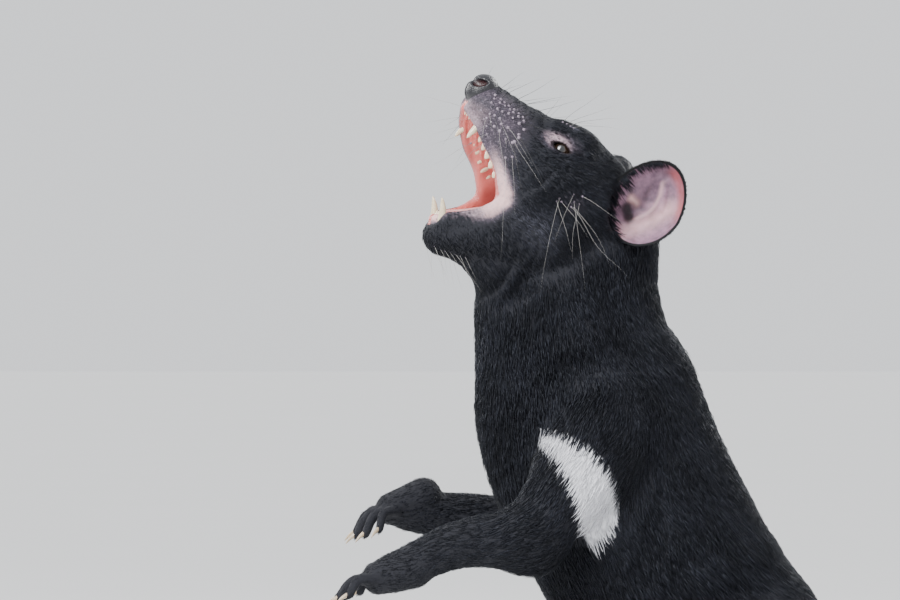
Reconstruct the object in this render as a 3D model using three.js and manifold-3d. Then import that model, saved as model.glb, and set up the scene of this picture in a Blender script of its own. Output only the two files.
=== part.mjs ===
// A life-size Tasmanian devil, rearing up with its jaws wide open. Millimetres, +Z up, facing -X.
// The flesh is a field of round-sectioned chains that melt into each other; each part of the body is
// meshed from it and parted from its neighbours by a thin gap.
import * as THREE from "three";
import { mergeVertices } from "three/addons/utils/BufferGeometryUtils.js";
import Module from "manifold-3d";

const wasm = await Module();
wasm.setup();

// Gaps and cutting
const GAP = 0.3;
const CUTTER_SIZE = 900;

// The head's own frame: s runs back from the nose tip, l to the animal's left, h up from the nose tip.
const NOSE_TIP = new THREE.Vector3(-155, -40, 568);
const HEAD_YAW = THREE.MathUtils.degToRad(20);
const HEAD_PITCH = THREE.MathUtils.degToRad(32);
const HEAD_ROLL = THREE.MathUtils.degToRad(4);

// Head sizes, in the head's frame
const EYE = { at: [86, 28, -4], radius: 8.5, gaze: [-0.45, 0.85, 0.12], lid: 2, long: 13.5, high: 7.6 };
const NOSTRIL = { at: [3.5, 7.2, 8.5], size: [6.5, 3.2, 2.9], turn: 0.6 };
const EAR = {
  at: [161, 54, -3],
  wide: 30,
  high: 37,
  deep: 21,
  wall: 2.6,
  clear: 12,
  sides: 20,
  rings: 5,
  facing: [-0.38, 0.92, -0.1],
};
const LIP = { radius: 3.7, sides: 6, steps: 6 };
const MOUTH_CORNER = [65, 0, -59.5];
const JAW_ANGLE = [130, 0, -95];

// Where the head meets the neck, the neck the chest, the chest the belly, and the rump the tail
const NECK_TOP = { at: [-75, 0, 424], normal: [-0.25, 0, 0.97] };
const NECK_BASE = { at: [-58, 0, 352], normal: [-0.3, 0, 0.95] };
const WAIST = { at: [-10, 0, 225], normal: [-0.38, 0, 0.92] };
const TAIL_ROOT = { at: [150, 0, 55], normal: [0.8, 0, -0.6] };

// Chains of the trunk: x, y, z and radius of each round section
const TRUNK = [
  [-56, 0, 442, 58],
  [-64, 0, 400, 67],
  [-60, 0, 358, 73],
  [-47, 0, 316, 83],
  [-30, 0, 264, 86],
  [-8, 0, 212, 89],
  [16, 0, 165, 91],
  [50, 0, 125, 86],
  [84, 0, 98, 71],
];
const THROAT = [
  [-117, 0, 424, 33],
  [-110, 0, 396, 42],
  [-100, 0, 350, 51],
  [-94, 0, 300, 56],
  [-68, 0, 245, 64],
  [-28, 0, 185, 66],
  [10, 0, 130, 66],
];
const SHOULDER = [
  [-42, -52, 300, 40],
  [-66, -62, 262, 34],
];
const HAUNCH = [
  [92, -40, 106, 56],
  [40, -58, 96, 46],
];
const TAIL = [
  [118, 0, 78, 42],
  [160, 0, 46, 29],
  [200, 2, 25, 21.5],
  [250, 12, 15, 16.4],
  [310, 32, 11.6, 13],
  [365, 54, 8, 9.4],
  [398, 70, 3.8, 5],
];

// Limbs, given for the left side; the mirror image is the right side unless it has a pose of its own.
const UPPER_ARM = [
  [-50, -66, 286, 37],
  [-104, -90, 212, 27],
];
const FOREARM_LEFT = [
  [-104, -90, 212, 27],
  [-158, -84, 208, 20.5],
  [-210, -78, 187, 16.5],
];
const FOREARM_RIGHT = [
  [-104, -90, 212, 27],
  [-152, -82, 222, 22.5],
  [-200, -68, 228, 17.5],
];
const THIGH = [
  [84, -58, 108, 50],
  [28, -74, 100, 45],
  [-22, -86, 90, 33],
];
const SHANK = [
  [-22, -86, 88, 32],
  [0, -82, 54, 24],
  [22, -78, 22, 15.5],
];
const FOOT = [
  [24, -78, 12.2, 14.5],
  [-10, -82, 14, 14],
  [-46, -87, 11.6, 14],
];
const HAND_TURN_LEFT = THREE.MathUtils.degToRad(-16);
const HAND_TURN_RIGHT = THREE.MathUtils.degToRad(-24);

// Digits: sideways place and turn at the knuckle, length, and radius
const FINGERS = [
  { side: -15, turn: -0.5, length: 22, radius: 5 },
  { side: -8, turn: -0.22, length: 31, radius: 5.4 },
  { side: 0, turn: 0, length: 34, radius: 5.6 },
  { side: 8, turn: 0.2, length: 31, radius: 5.4 },
  { side: 15, turn: 0.48, length: 24, radius: 5 },
];
const TOES = [
  { side: -13, turn: -0.3, length: 23, radius: 6.4 },
  { side: -4.5, turn: -0.1, length: 28, radius: 6.8 },
  { side: 4.5, turn: 0.1, length: 27, radius: 6.8 },
  { side: 13, turn: 0.3, length: 22, radius: 6.4 },
];
const TOE_HEIGHT = 7.8;
const TOE_REACH = 34;
const TOE_ROOM = 12;
const TOE_DROP = 3;
const CLAW = { length: 13, radius: 2.5, droop: 0.55, sunk: 4 };
const HORN_TAPER = 0.75;
const KNUCKLE = { along: 0.55, rise: 0.5, taper: 0.12 };
const PALM = { beyond: 17, drop: 7 };

const COLOUR = {
  coat: 0x16171c,
  muzzle: 0x4b464e,
  nose: 0x14151a,
  ear: 0x9a6f7c,
  eye: 0x0b0d12,
  mouth: 0xd4706c,
};

// A frame whose axes are the head's s, l and h
function headFrame() {
  const forward = new THREE.Vector3(
    -Math.cos(HEAD_YAW) * Math.cos(HEAD_PITCH),
    -Math.sin(HEAD_YAW) * Math.cos(HEAD_PITCH),
    Math.sin(HEAD_PITCH),
  );
  const level = new THREE.Vector3(Math.sin(HEAD_YAW), -Math.cos(HEAD_YAW), 0);
  const crown = new THREE.Vector3().crossVectors(forward, level);
  const left = level.clone().applyAxisAngle(forward, -HEAD_ROLL);
  const up = crown.clone().applyAxisAngle(forward, -HEAD_ROLL);
  return new THREE.Matrix4().makeBasis(forward.clone().negate(), left, up).setPosition(NOSE_TIP);
}

const HEAD = headFrame();
const WORLD = new THREE.Matrix4();

const inHead = (s, l, h) => new THREE.Vector3(s, l, h).applyMatrix4(HEAD);
const headWay = (s, l, h) => inHead(s, l, h).sub(NOSE_TIP);
const vector = (list) => new THREE.Vector3(...list);

// A chain of round sections along a smooth line. It may be squeezed along one axis, and blend says how
// far it melts into the chains before it.
function chain(sections, { frame = WORLD, squeeze = [0, 1, 0], factor = 1, blend = 12, steps = 3 } = {}) {
  const centres = sections.map(([x, y, z]) => new THREE.Vector3(x, y, z).applyMatrix4(frame));
  const radii = sections.map((section) => section[3]);
  const curve = new THREE.CatmullRomCurve3(centres, false, "centripetal");
  const count = (sections.length - 1) * steps;
  const samples = [];
  for (let i = 0; i <= count; i += 1) {
    const along = i / steps;
    const before = Math.min(Math.floor(along), sections.length - 2);
    const radius = THREE.MathUtils.lerp(radii[before], radii[before + 1], along - before);
    samples.push({ centre: curve.getPoint(i / count), radius });
  }
  const axis = vector(squeeze).transformDirection(frame);
  return { samples, axis, stretch: 1 / factor - 1, blend };
}

// Both of a pair: the chain as given, and its mirror image across the middle plane of its frame
function pair(sections, options = {}) {
  const other = sections.map(([x, y, z, radius]) => [x, -y, z, radius]);
  return [chain(sections, options), chain(other, options)];
}

// Distance from a point to one chain, along which the squeezed axis is stretched back
function chainDistance(point, { samples, axis, stretch }) {
  let nearest = Infinity;
  for (let i = 0; i + 1 < samples.length; i += 1) {
    const { centre: a, radius: ra } = samples[i];
    const { centre: b, radius: rb } = samples[i + 1];
    let px = point.x - a.x;
    let py = point.y - a.y;
    let pz = point.z - a.z;
    let dx = b.x - a.x;
    let dy = b.y - a.y;
    let dz = b.z - a.z;
    const pull = (px * axis.x + py * axis.y + pz * axis.z) * stretch;
    px += axis.x * pull;
    py += axis.y * pull;
    pz += axis.z * pull;
    const run = (dx * axis.x + dy * axis.y + dz * axis.z) * stretch;
    dx += axis.x * run;
    dy += axis.y * run;
    dz += axis.z * run;
    const t = THREE.MathUtils.clamp((px * dx + py * dy + pz * dz) / (dx * dx + dy * dy + dz * dz), 0, 1);
    const away = Math.hypot(px - t * dx, py - t * dy, pz - t * dz) - (ra + t * (rb - ra));
    nearest = Math.min(nearest, away);
  }
  return nearest;
}

function smoothMin(a, b, width) {
  const mix = THREE.MathUtils.clamp(0.5 + (0.5 * (b - a)) / width, 0, 1);
  return b + (a - b) * mix - width * mix * (1 - mix);
}

// A field is a function of a point that is negative inside the flesh
function field(solid, hollow = []) {
  return (point) => {
    let inside = Infinity;
    for (const part of solid) {
      const away = chainDistance(point, part);
      inside = inside === Infinity ? away : smoothMin(inside, away, part.blend);
    }
    for (const part of hollow) inside = -smoothMin(-inside, chainDistance(point, part), part.blend);
    return inside;
  };
}

// Meshes a field on a grid whose cells may be longer one way, one vertex in each cell that the
// surface crosses, then draws each vertex onto the surface and moves it out by the growth.
function meshField(distance, { frame = WORLD, low, high, cell, grow = 0 }) {
  const size = [0, 1, 2].map((k) => Math.ceil((high[k] - low[k]) / cell[k]) + 1);
  const index = (i, j, k) => (i * size[1] + j) * size[2] + k;
  const place = (i, j, k) =>
    new THREE.Vector3(low[0] + i * cell[0], low[1] + j * cell[1], low[2] + k * cell[2]).applyMatrix4(frame);
  const values = new Float64Array(size[0] * size[1] * size[2]);
  const least = Math.min(...cell) * 0.02;
  for (let i = 0; i < size[0]; i += 1) {
    for (let j = 0; j < size[1]; j += 1) {
      for (let k = 0; k < size[2]; k += 1) {
        let value = distance(place(i, j, k));
        const rim = !i || !j || !k || i === size[0] - 1 || j === size[1] - 1 || k === size[2] - 1;
        if (rim) value = Math.max(value, least);
        values[index(i, j, k)] = Math.abs(value) < least ? Math.sign(value || 1) * least : value;
      }
    }
  }
  fillDiagonals(values, size, index, least);

  const vertices = [];
  const cellVertex = new Map();
  const slope = new THREE.Vector3();
  const corners = [0, 1, 2, 3, 4, 5, 6, 7].map((c) => [c & 1, (c >> 1) & 1, (c >> 2) & 1]);
  const reach = Math.min(...cell) * 0.6;
  for (let i = 0; i + 1 < size[0]; i += 1) {
    for (let j = 0; j + 1 < size[1]; j += 1) {
      for (let k = 0; k + 1 < size[2]; k += 1) {
        const here = corners.map(([a, b, c]) => values[index(i + a, j + b, k + c)]);
        const inside = here.filter((value) => value < 0).length;
        if (!inside || inside === 8) continue;
        const sum = new THREE.Vector3();
        let crossings = 0;
        for (let a = 0; a < 8; a += 1) {
          for (const bit of [1, 2, 4]) {
            const b = a | bit;
            if (a === b || here[a] < 0 === here[b] < 0) continue;
            const t = here[a] / (here[a] - here[b]);
            sum.x += THREE.MathUtils.lerp(corners[a][0], corners[b][0], t);
            sum.y += THREE.MathUtils.lerp(corners[a][1], corners[b][1], t);
            sum.z += THREE.MathUtils.lerp(corners[a][2], corners[b][2], t);
            crossings += 1;
          }
        }
        sum.divideScalar(crossings);
        const vertex = place(i + sum.x, j + sum.y, k + sum.z);
        const start = vertex.clone();
        for (let pass = 0; pass < 3; pass += 1) {
          gradient(distance, vertex, slope);
          vertex.addScaledVector(slope, -distance(vertex) / Math.max(slope.lengthSq(), 0.05));
        }
        if (vertex.distanceTo(start) > reach) vertex.copy(start);
        vertex.addScaledVector(slope.normalize(), grow);
        cellVertex.set(index(i, j, k), vertices.length / 3);
        vertices.push(vertex.x, vertex.y, vertex.z);
      }
    }
  }

  const triangles = [];
  const mirroring = frame.determinant() < 0;
  const point = (n) => new THREE.Vector3(vertices[3 * n], vertices[3 * n + 1], vertices[3 * n + 2]);
  const addQuad = (a, b, c, d) => {
    if (point(a).distanceToSquared(point(c)) < point(b).distanceToSquared(point(d))) {
      triangles.push(a, b, c, a, c, d);
    } else {
      triangles.push(a, b, d, b, c, d);
    }
  };
  for (let i = 0; i + 1 < size[0]; i += 1) {
    for (let j = 0; j + 1 < size[1]; j += 1) {
      for (let k = 0; k + 1 < size[2]; k += 1) {
        const here = values[index(i, j, k)];
        const ways = [
          [values[index(i + 1, j, k)], [0, -1, -1], [0, 0, -1], [0, 0, 0], [0, -1, 0]],
          [values[index(i, j + 1, k)], [-1, 0, -1], [-1, 0, 0], [0, 0, 0], [0, 0, -1]],
          [values[index(i, j, k + 1)], [-1, -1, 0], [0, -1, 0], [0, 0, 0], [-1, 0, 0]],
        ];
        for (const [next, ...cells] of ways) {
          if (here < 0 === next < 0) continue;
          const quad = cells.map(([a, b, c]) => cellVertex.get(index(i + a, j + b, k + c)));
          if (here < 0 !== mirroring) addQuad(...quad);
          else addQuad(...quad.reverse());
        }
      }
    }
  }
  return solid(vertices, triangles);
}

// Where only two opposite corners of a grid square are inside, one more is filled in, so that the
// surface never touches itself along an edge.
function fillDiagonals(values, size, index, least) {
  const squares = [
    [[0, 1, 0], [0, 0, 1]],
    [[1, 0, 0], [0, 0, 1]],
    [[1, 0, 0], [0, 1, 0]],
  ];
  for (let changed = true; changed; ) {
    changed = false;
    for (let i = 1; i + 2 < size[0]; i += 1) {
      for (let j = 1; j + 2 < size[1]; j += 1) {
        for (let k = 1; k + 2 < size[2]; k += 1) {
          for (const [u, v] of squares) {
            const a = index(i, j, k);
            const b = index(i + u[0], j + u[1], k + u[2]);
            const c = index(i + v[0], j + v[1], k + v[2]);
            const d = index(i + u[0] + v[0], j + u[1] + v[1], k + u[2] + v[2]);
            const [ina, inb, inc, ind] = [a, b, c, d].map((n) => values[n] < 0);
            if (ina === ind && inb === inc && ina !== inb) {
              values[ina ? b : a] = -least;
              changed = true;
            }
          }
        }
      }
    }
  }
}

function gradient(distance, at, out) {
  const step = 0.2;
  const probe = at.clone();
  for (const axis of ["x", "y", "z"]) {
    probe[axis] = at[axis] + step;
    const ahead = distance(probe);
    probe[axis] = at[axis] - step;
    out[axis] = (ahead - distance(probe)) / (2 * step);
    probe[axis] = at[axis];
  }
  return out;
}

function solid(vertices, triangles) {
  return new wasm.Manifold(
    new wasm.Mesh({
      numProp: 3,
      vertProperties: new Float32Array(vertices),
      triVerts: new Uint32Array(triangles),
    }),
  );
}

// A solid from a three.js geometry, placed by a matrix
function fromGeometry(geometry, matrix = WORLD) {
  const bare = geometry.clone();
  for (const name of Object.keys(bare.attributes)) {
    if (name !== "position") bare.deleteAttribute(name);
  }
  bare.applyMatrix4(matrix);
  const merged = mergeVertices(bare, 1e-4);
  return solid(merged.attributes.position.array, merged.index.array);
}

// A large block whose one face passes through a point; the block lies on the side of the normal
function blockBeyond(at, normal, offset) {
  const direction = vector(normal).normalize();
  const turn = new THREE.Quaternion().setFromUnitVectors(new THREE.Vector3(0, 0, 1), direction);
  const centre = vector(at).addScaledVector(direction, CUTTER_SIZE / 2 + offset);
  const matrix = new THREE.Matrix4().compose(centre, turn, new THREE.Vector3(1, 1, 1));
  return fromGeometry(new THREE.BoxGeometry(CUTTER_SIZE, CUTTER_SIZE, CUTTER_SIZE), matrix);
}

const above = (body, plane) => body.intersect(blockBeyond(plane.at, plane.normal, GAP / 2));
const below = (body, plane) => body.subtract(blockBeyond(plane.at, plane.normal, -GAP / 2));
const onFloor = (body) => body.intersect(blockBeyond([0, 0, 0], [0, 0, 1], 0));

function largest(body) {
  return body.decompose().reduce((most, part) => (part.volume() > most.volume() ? part : most));
}

// A tapered, curved horn for a tooth or a claw: it starts at a point, sets off along a direction and
// bends towards another.
function horn({ from, along, bend, length, radius, curl = 0, sides = 5, rings = 2 }) {
  const vertices = [];
  const triangles = [];
  const direction = along.clone().normalize();
  const side = new THREE.Vector3().crossVectors(direction, bend).normalize();
  const toward = new THREE.Vector3().crossVectors(side, direction).normalize();
  const centreAt = (t) =>
    from
      .clone()
      .addScaledVector(direction, (length * Math.sin(curl * t)) / (curl || 1) + (curl ? 0 : length * t))
      .addScaledVector(toward, curl ? (length * (1 - Math.cos(curl * t))) / curl : 0);
  for (let ring = 0; ring < rings; ring += 1) {
    const t = ring / rings;
    const centre = centreAt(t);
    const width = radius * (1 - t) ** HORN_TAPER;
    for (let n = 0; n < sides; n += 1) {
      const angle = (2 * Math.PI * n) / sides;
      const vertex = centre
        .clone()
        .addScaledVector(side, width * Math.cos(angle))
        .addScaledVector(toward, width * Math.sin(angle));
      vertices.push(vertex.x, vertex.y, vertex.z);
    }
  }
  vertices.push(...centreAt(1).toArray(), ...from.toArray());
  const tip = rings * sides;
  const root = tip + 1;
  for (let n = 0; n < sides; n += 1) {
    const next = (n + 1) % sides;
    triangles.push(root, next, n);
    for (let ring = 0; ring + 1 < rings; ring += 1) {
      const a = ring * sides;
      triangles.push(a + n, a + next, a + sides + n, a + next, a + sides + next, a + sides + n);
    }
    const last = (rings - 1) * sides;
    triangles.push(last + n, last + next, tip);
  }
  const made = solid(vertices, triangles);
  return made.volume() > 0 ? made : solid(vertices, triangles.reverse());
}

// The head's flesh, in its own frame
const inHeadFrame = { frame: HEAD };

function headChains() {
  const cranium = [
    [104, 0, -11, 36],
    [126, 0, -14, 37],
    [150, 0, -22, 36],
  ];
  const muzzle = [
    [100, 0, -5, 28],
    [62, 0, -7, 25.5],
    [20, 0, 2, 15],
  ];
  const upperLip = [
    [14, 8, -9, 9],
    [40, 14, -24, 12],
    [62, 23, -46, 10],
  ];
  const whiskerPad = [
    [24, 12, -6, 11.5],
    [42, 15, -11, 14],
  ];
  const cheek = [
    [72, 20, -22, 22],
    [100, 33, -28, 25],
    [128, 34, -28, 26],
  ];
  const brow = [
    [80, 20, 9, 11],
    [98, 24, 9, 12],
  ];
  const cheekSkin = [
    [66, 25, -51, 8.5],
    [92, 30, -52, 22],
    [116, 33, -58, 26],
  ];
  return [
    chain(cranium, { ...inHeadFrame, factor: 1.22 }),
    chain(muzzle, { ...inHeadFrame, factor: 1.12, blend: 14 }),
    ...pair(upperLip, { ...inHeadFrame, blend: 8 }),
    ...pair(whiskerPad, { ...inHeadFrame, blend: 10 }),
    ...pair(cheek, { ...inHeadFrame, blend: 16 }),
    ...pair(brow, { ...inHeadFrame, blend: 10 }),
    ...pair(cheekSkin, { ...inHeadFrame, blend: 12 }),
  ];
}

function jawChains() {
  const mandible = [
    [45, 6, -108, 13],
    [62, 19, -98, 14],
    [84, 29, -84, 17],
    [116, 32, -70, 24],
  ];
  const lipBed = [
    [65, 26, -70, 6],
    [57, 21.5, -84, 7.5],
    [43, 13, -98, 9],
  ];
  const chinFloor = [
    [50, 0, -112, 10],
    [76, 0, -104, 18],
    [104, 0, -98, 30],
  ];
  return [
    ...pair(mandible, { ...inHeadFrame, blend: 8 }),
    ...pair(lipBed, { ...inHeadFrame, blend: 6 }),
    chain(chinFloor, { ...inHeadFrame, factor: 1.2, blend: 14 }),
  ];
}

function mouthHollow() {
  const palate = [
    [10, 0, -27, 8],
    [34, 0, -38, 11.5],
    [58, 0, -52, 17],
    [84, 0, -60, 15],
  ];
  const floor = [
    [38, 0, -92, 8.5],
    [56, 0, -80, 15],
    [72, 0, -66, 18],
  ];
  return [
    chain(palate, { ...inHeadFrame, factor: 1.15, blend: 5 }),
    chain(floor, { ...inHeadFrame, factor: 1.15, blend: 5 }),
  ];
}

const trunkChains = [
  chain(TRUNK, { factor: 0.88 }),
  chain(THROAT, { factor: 0.95, blend: 26 }),
  ...pair(SHOULDER, { blend: 26 }),
  ...pair(HAUNCH, { factor: 0.8, blend: 26 }),
  chain(TAIL, { blend: 18 }),
];
const headField = field([...trunkChains.slice(0, 2), ...headChains(), ...jawChains()], mouthHollow());
const trunkField = field(trunkChains);
const neckField = field([...trunkChains.slice(0, 4), ...headChains(), ...jawChains()], mouthHollow());

const JAW_CUT = {
  at: inHead(...MOUTH_CORNER).toArray(),
  normal: inHead(...MOUTH_CORNER)
    .sub(inHead(...JAW_ANGLE))
    .cross(headWay(0, 1, 0))
    .toArray(),
};

const HEAD_GRID = { frame: HEAD, low: [-6, -78, -152], high: [214, 78, 46], cell: [9.6, 8.4, 8.4] };

// The eyeball, the lids around it and the almond opening between them, for the left (1) or right (-1)
function eyeForms(side) {
  const [s, l, h] = EYE.at;
  const centre = inHead(s, side * l, h);
  const gaze = headWay(EYE.gaze[0], side * EYE.gaze[1], EYE.gaze[2]).normalize();
  const along = headWay(-1, 0, 0.05);
  const across = new THREE.Vector3().crossVectors(gaze, along).normalize();
  const lengthways = new THREE.Vector3().crossVectors(across, gaze).normalize();
  const frame = new THREE.Matrix4().makeBasis(lengthways, across, gaze).setPosition(centre);
  const ball = (radius) => fromGeometry(new THREE.SphereGeometry(radius, 12, 8), frame);
  const almond = new THREE.Shape();
  almond.moveTo(-EYE.long / 2, 0);
  almond.quadraticCurveTo(0, EYE.high, EYE.long / 2, 0);
  almond.quadraticCurveTo(0, -EYE.high, -EYE.long / 2, 0);
  const opening = new THREE.ExtrudeGeometry(almond, { depth: 30, bevelEnabled: false, curveSegments: 5 });
  return {
    ball: ball(EYE.radius),
    socket: ball(EYE.radius + GAP),
    lids: ball(EYE.radius + EYE.lid),
    opening: fromGeometry(opening, frame),
  };
}

// One nostril, a hollow that runs in from the front of the nose
function nostril(side) {
  const [s, l, h] = NOSTRIL.at;
  const matrix = HEAD.clone()
    .multiply(new THREE.Matrix4().makeTranslation(s, side * l, h))
    .multiply(new THREE.Matrix4().makeRotationZ(side * NOSTRIL.turn))
    .multiply(new THREE.Matrix4().makeScale(...NOSTRIL.size));
  return fromGeometry(new THREE.SphereGeometry(1, 10, 8), matrix);
}

// The ear's own frame: across, outward from the cup, and up, from the middle of its opening
function earFrame(side) {
  const [s, l, h] = EAR.at;
  const [fs, fl, fh] = EAR.facing;
  const outward = headWay(fs, side * fl, fh);
  const across = new THREE.Vector3().crossVectors(outward, headWay(0.1, 0, 1)).normalize();
  const top = new THREE.Vector3().crossVectors(across, outward).normalize();
  return new THREE.Matrix4().makeBasis(across, outward, top).setPosition(inHead(s, side * l, h));
}

// An ear: a bowl turned on its axis, then drawn into the ear's outline, which narrows to its tip
function ear(side) {
  const { rings } = EAR;
  const inner = 1 - EAR.wall / EAR.wide;
  const profile = [];
  for (let i = 0; i <= rings; i += 1) {
    const angle = (Math.PI / 2) * (i / rings);
    profile.push(new THREE.Vector2(i ? Math.sin(angle) : 0, -Math.cos(angle)));
  }
  for (let i = rings; i >= 0; i -= 1) {
    const angle = (Math.PI / 2) * (i / rings);
    profile.push(new THREE.Vector2(i ? Math.sin(angle) * inner : 0, 0.04 - Math.cos(angle) * inner));
  }
  const bowl = new THREE.LatheGeometry(profile, EAR.sides);
  shapeEar(bowl, EAR.deep, EAR.deep, 0);
  return fromGeometry(bowl, earFrame(side));
}

// The room that an ear takes in the side of the head: its cup, and a shallower dome before it
function earRoom(side) {
  const dome = new THREE.SphereGeometry(1, EAR.sides, 2 * EAR.rings);
  shapeEar(dome, EAR.deep, EAR.clear, GAP);
  return fromGeometry(dome, earFrame(side));
}

function shapeEar(geometry, inward, outward, room) {
  const spots = geometry.getAttribute("position");
  for (let i = 0; i < spots.count; i += 1) {
    const depth = spots.getY(i);
    const up = spots.getZ(i);
    const wide = (EAR.wide + room) * (1 - 0.12 * Math.max(0, up));
    const deep = depth < 0 ? inward + room : outward;
    spots.setXYZ(i, spots.getX(i) * wide, depth * deep, up * (EAR.high + room));
  }
}

// The rounded edge of a lip: a tube along a line in the head's frame, for one side
function lip(points, side) {
  const places = points.map(([s, l, h]) => inHead(s, side * l, h));
  const outline = new THREE.Shape().absarc(0, 0, LIP.radius, 0, 2 * Math.PI);
  const options = {
    extrudePath: new THREE.CatmullRomCurve3(places, false, "centripetal"),
    steps: LIP.steps,
    curveSegments: LIP.sides / 2,
    bevelEnabled: false,
  };
  return fromGeometry(new THREE.ExtrudeGeometry(outline, options));
}

// Teeth of one jaw: place along the row, row width, and each tooth's size
const UPPER_TEETH = [
  { s: 9.5, l: 2, h: -13, length: 6, radius: 1.7, down: [0, 0, -1] },
  { s: 10.5, l: 5.2, h: -13.5, length: 6, radius: 1.8, down: [0, 0.05, -1] },
  { s: 12.5, l: 8.2, h: -14.5, length: 6.5, radius: 1.9, down: [0, 0.1, -1] },
  { s: 18.5, l: 14, h: -17, length: 22, radius: 4.4, down: [-0.34, 0.2, -1], curl: 0.5 },
  { s: 24.5, l: 15, h: -23, length: 8, radius: 3.2, down: [-0.2, 0.05, -1] },
  { s: 31, l: 16, h: -28, length: 8, radius: 3.8, down: [-0.2, 0.05, -1] },
  { s: 38.5, l: 18, h: -33, length: 8.5, radius: 4.4, down: [-0.25, 0.05, -1] },
  { s: 46, l: 20, h: -38, length: 8.5, radius: 4.6, down: [-0.3, 0.05, -1] },
  { s: 53, l: 22, h: -43, length: 8, radius: 4.2, down: [-0.35, 0.05, -1] },
];
const LOWER_TEETH = [
  { s: 35.5, l: 2.2, h: -100, length: 7, radius: 1.7, down: [-0.3, 0, 1] },
  { s: 36, l: 5.4, h: -100, length: 7, radius: 1.8, down: [-0.3, 0.05, 1] },
  { s: 37.5, l: 9.8, h: -101, length: 20, radius: 4, down: [-0.45, 0.12, 1], curl: -0.4 },
  { s: 45.5, l: 13, h: -97, length: 8.5, radius: 3, down: [-0.2, 0.05, 1] },
  { s: 52, l: 15, h: -93, length: 8.5, radius: 3.6, down: [-0.2, 0.05, 1] },
  { s: 58.5, l: 17.5, h: -88, length: 9, radius: 4.1, down: [-0.25, 0.05, 1] },
  { s: 64.5, l: 20, h: -82.5, length: 9, radius: 4.1, down: [-0.3, 0.05, 1] },
];
const UPPER_LIP = [
  [8, 5, -14],
  [17, 14.5, -20],
  [32, 20.5, -31],
  [48, 26, -41],
  [64, 30.5, -57],
];
const LOWER_LIP = [
  [66, 30, -62],
  [60, 24.5, -76.5],
  [50, 19, -88.5],
  [40, 13, -96.5],
  [33.5, 4, -100.5],
];

function teeth(row) {
  const made = [];
  for (const tooth of row) {
    for (const side of [1, -1]) {
      const { s, l, h, length, radius, curl = 0 } = tooth;
      const [ds, dl, dh] = tooth.down;
      const along = headWay(ds, side * dl, dh);
      const bend = headWay(1, 0, 0);
      const rings = curl ? 3 : 2;
      made.push(horn({ from: inHead(s, side * l, h), along, bend, length, radius, curl, rings }));
    }
  }
  return made;
}

function join(bodies) {
  return bodies.reduce((whole, body) => whole.add(body));
}

// Digits fanned out from the end of a limb, with their claws apart from them
function digits(frame, list, drop) {
  const chains = [];
  const claws = [];
  for (const { side, turn, length, radius } of list) {
    const forward = new THREE.Vector3(Math.cos(turn), Math.sin(turn), 0);
    const root = new THREE.Vector3(0, side, 0);
    const knuckle = root.clone().addScaledVector(forward, length * KNUCKLE.along);
    const tip = root.clone().addScaledVector(forward, length);
    knuckle.z += radius * KNUCKLE.rise;
    tip.z -= drop;
    const places = [root, knuckle, tip];
    const points = places.map((place, i) => [...place.toArray(), radius * (1 - KNUCKLE.taper * i)]);
    chains.push(chain(points, { frame, blend: 4, steps: 2 }));
    const from = tip.clone().addScaledVector(forward, -CLAW.sunk / 2).add(new THREE.Vector3(0, 0, 1));
    claws.push(
      horn({
        from: from.applyMatrix4(frame),
        along: forward.clone().transformDirection(frame),
        bend: new THREE.Vector3(0, 0, -1).transformDirection(frame),
        length: CLAW.length,
        radius: CLAW.radius,
        curl: CLAW.droop,
        rings: 3,
      }),
    );
  }
  return { chains, claws };
}

// A plane through a joint that halves the angle between the two limb pieces that meet there
function jointPlane(before, joint, after) {
  const back = vector(before).sub(vector(joint)).normalize();
  const on = vector(after).sub(vector(joint)).normalize();
  return { at: joint, normal: back.sub(on).normalize().toArray() };
}

const mirrored = (sections, side) => sections.map(([x, y, z, ...rest]) => [x, y * side, z, ...rest]);

// The box of a chain of sections, with room around it
function boxAround(sections, room) {
  const low = [0, 1, 2].map((k) => Math.min(...sections.map((section) => section[k] - section[3])) - room);
  const high = [0, 1, 2].map((k) => Math.max(...sections.map((section) => section[k] + section[3])) + room);
  return { low, high };
}

function foreleg(side, sections, turn, trunk) {
  const upper = mirrored(UPPER_ARM, side);
  const lower = mirrored(sections, side);
  const limb = [chain(upper, { factor: 0.85 }), chain(lower, { blend: 14 })];
  const limbField = field(limb);
  const elbow = jointPlane(upper[0].slice(0, 3), upper[1].slice(0, 3), lower[1].slice(0, 3));
  const wristAt = lower[2].slice(0, 3);
  const reach = vector(wristAt).sub(vector(lower[1].slice(0, 3))).normalize();
  const wrist = { at: wristAt, normal: reach.clone().negate().toArray() };

  const forward = new THREE.Vector3(reach.x, reach.y, 0).normalize();
  const tipDown = new THREE.Matrix4().makeRotationY(-turn);
  const aside = new THREE.Vector3(0, 0, 1).cross(forward).normalize();
  const frame = new THREE.Matrix4()
    .makeBasis(forward, aside, new THREE.Vector3(0, 0, 1))
    .multiply(tipDown)
    .setPosition(vector(wristAt).addScaledVector(reach, PALM.beyond));
  const palm = [
    [-30, 0, -1, 15],
    [-2, 0, 0, 14],
  ];
  const { chains, claws } = digits(frame, FINGERS, PALM.drop);
  const handField = field([chain(palm, { frame, squeeze: [0, 1, 0], factor: 1.25 }), ...chains]);
  const handSections = [[...wristAt, 30], [...vector(wristAt).addScaledVector(reach, 40).toArray(), 34]];

  const arm = meshField(limbField, { ...boxAround([...upper, ...lower], 12), cell: [14, 12, 12] });
  const hand = meshField(handField, { ...boxAround(handSections, 6), cell: [8, 7.4, 7] });
  return {
    upper_arm: above(arm, elbow).subtract(trunk),
    forearm: above(below(arm, elbow), wrist),
    forepaw: join([below(hand, wrist), ...claws]),
  };
}

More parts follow.
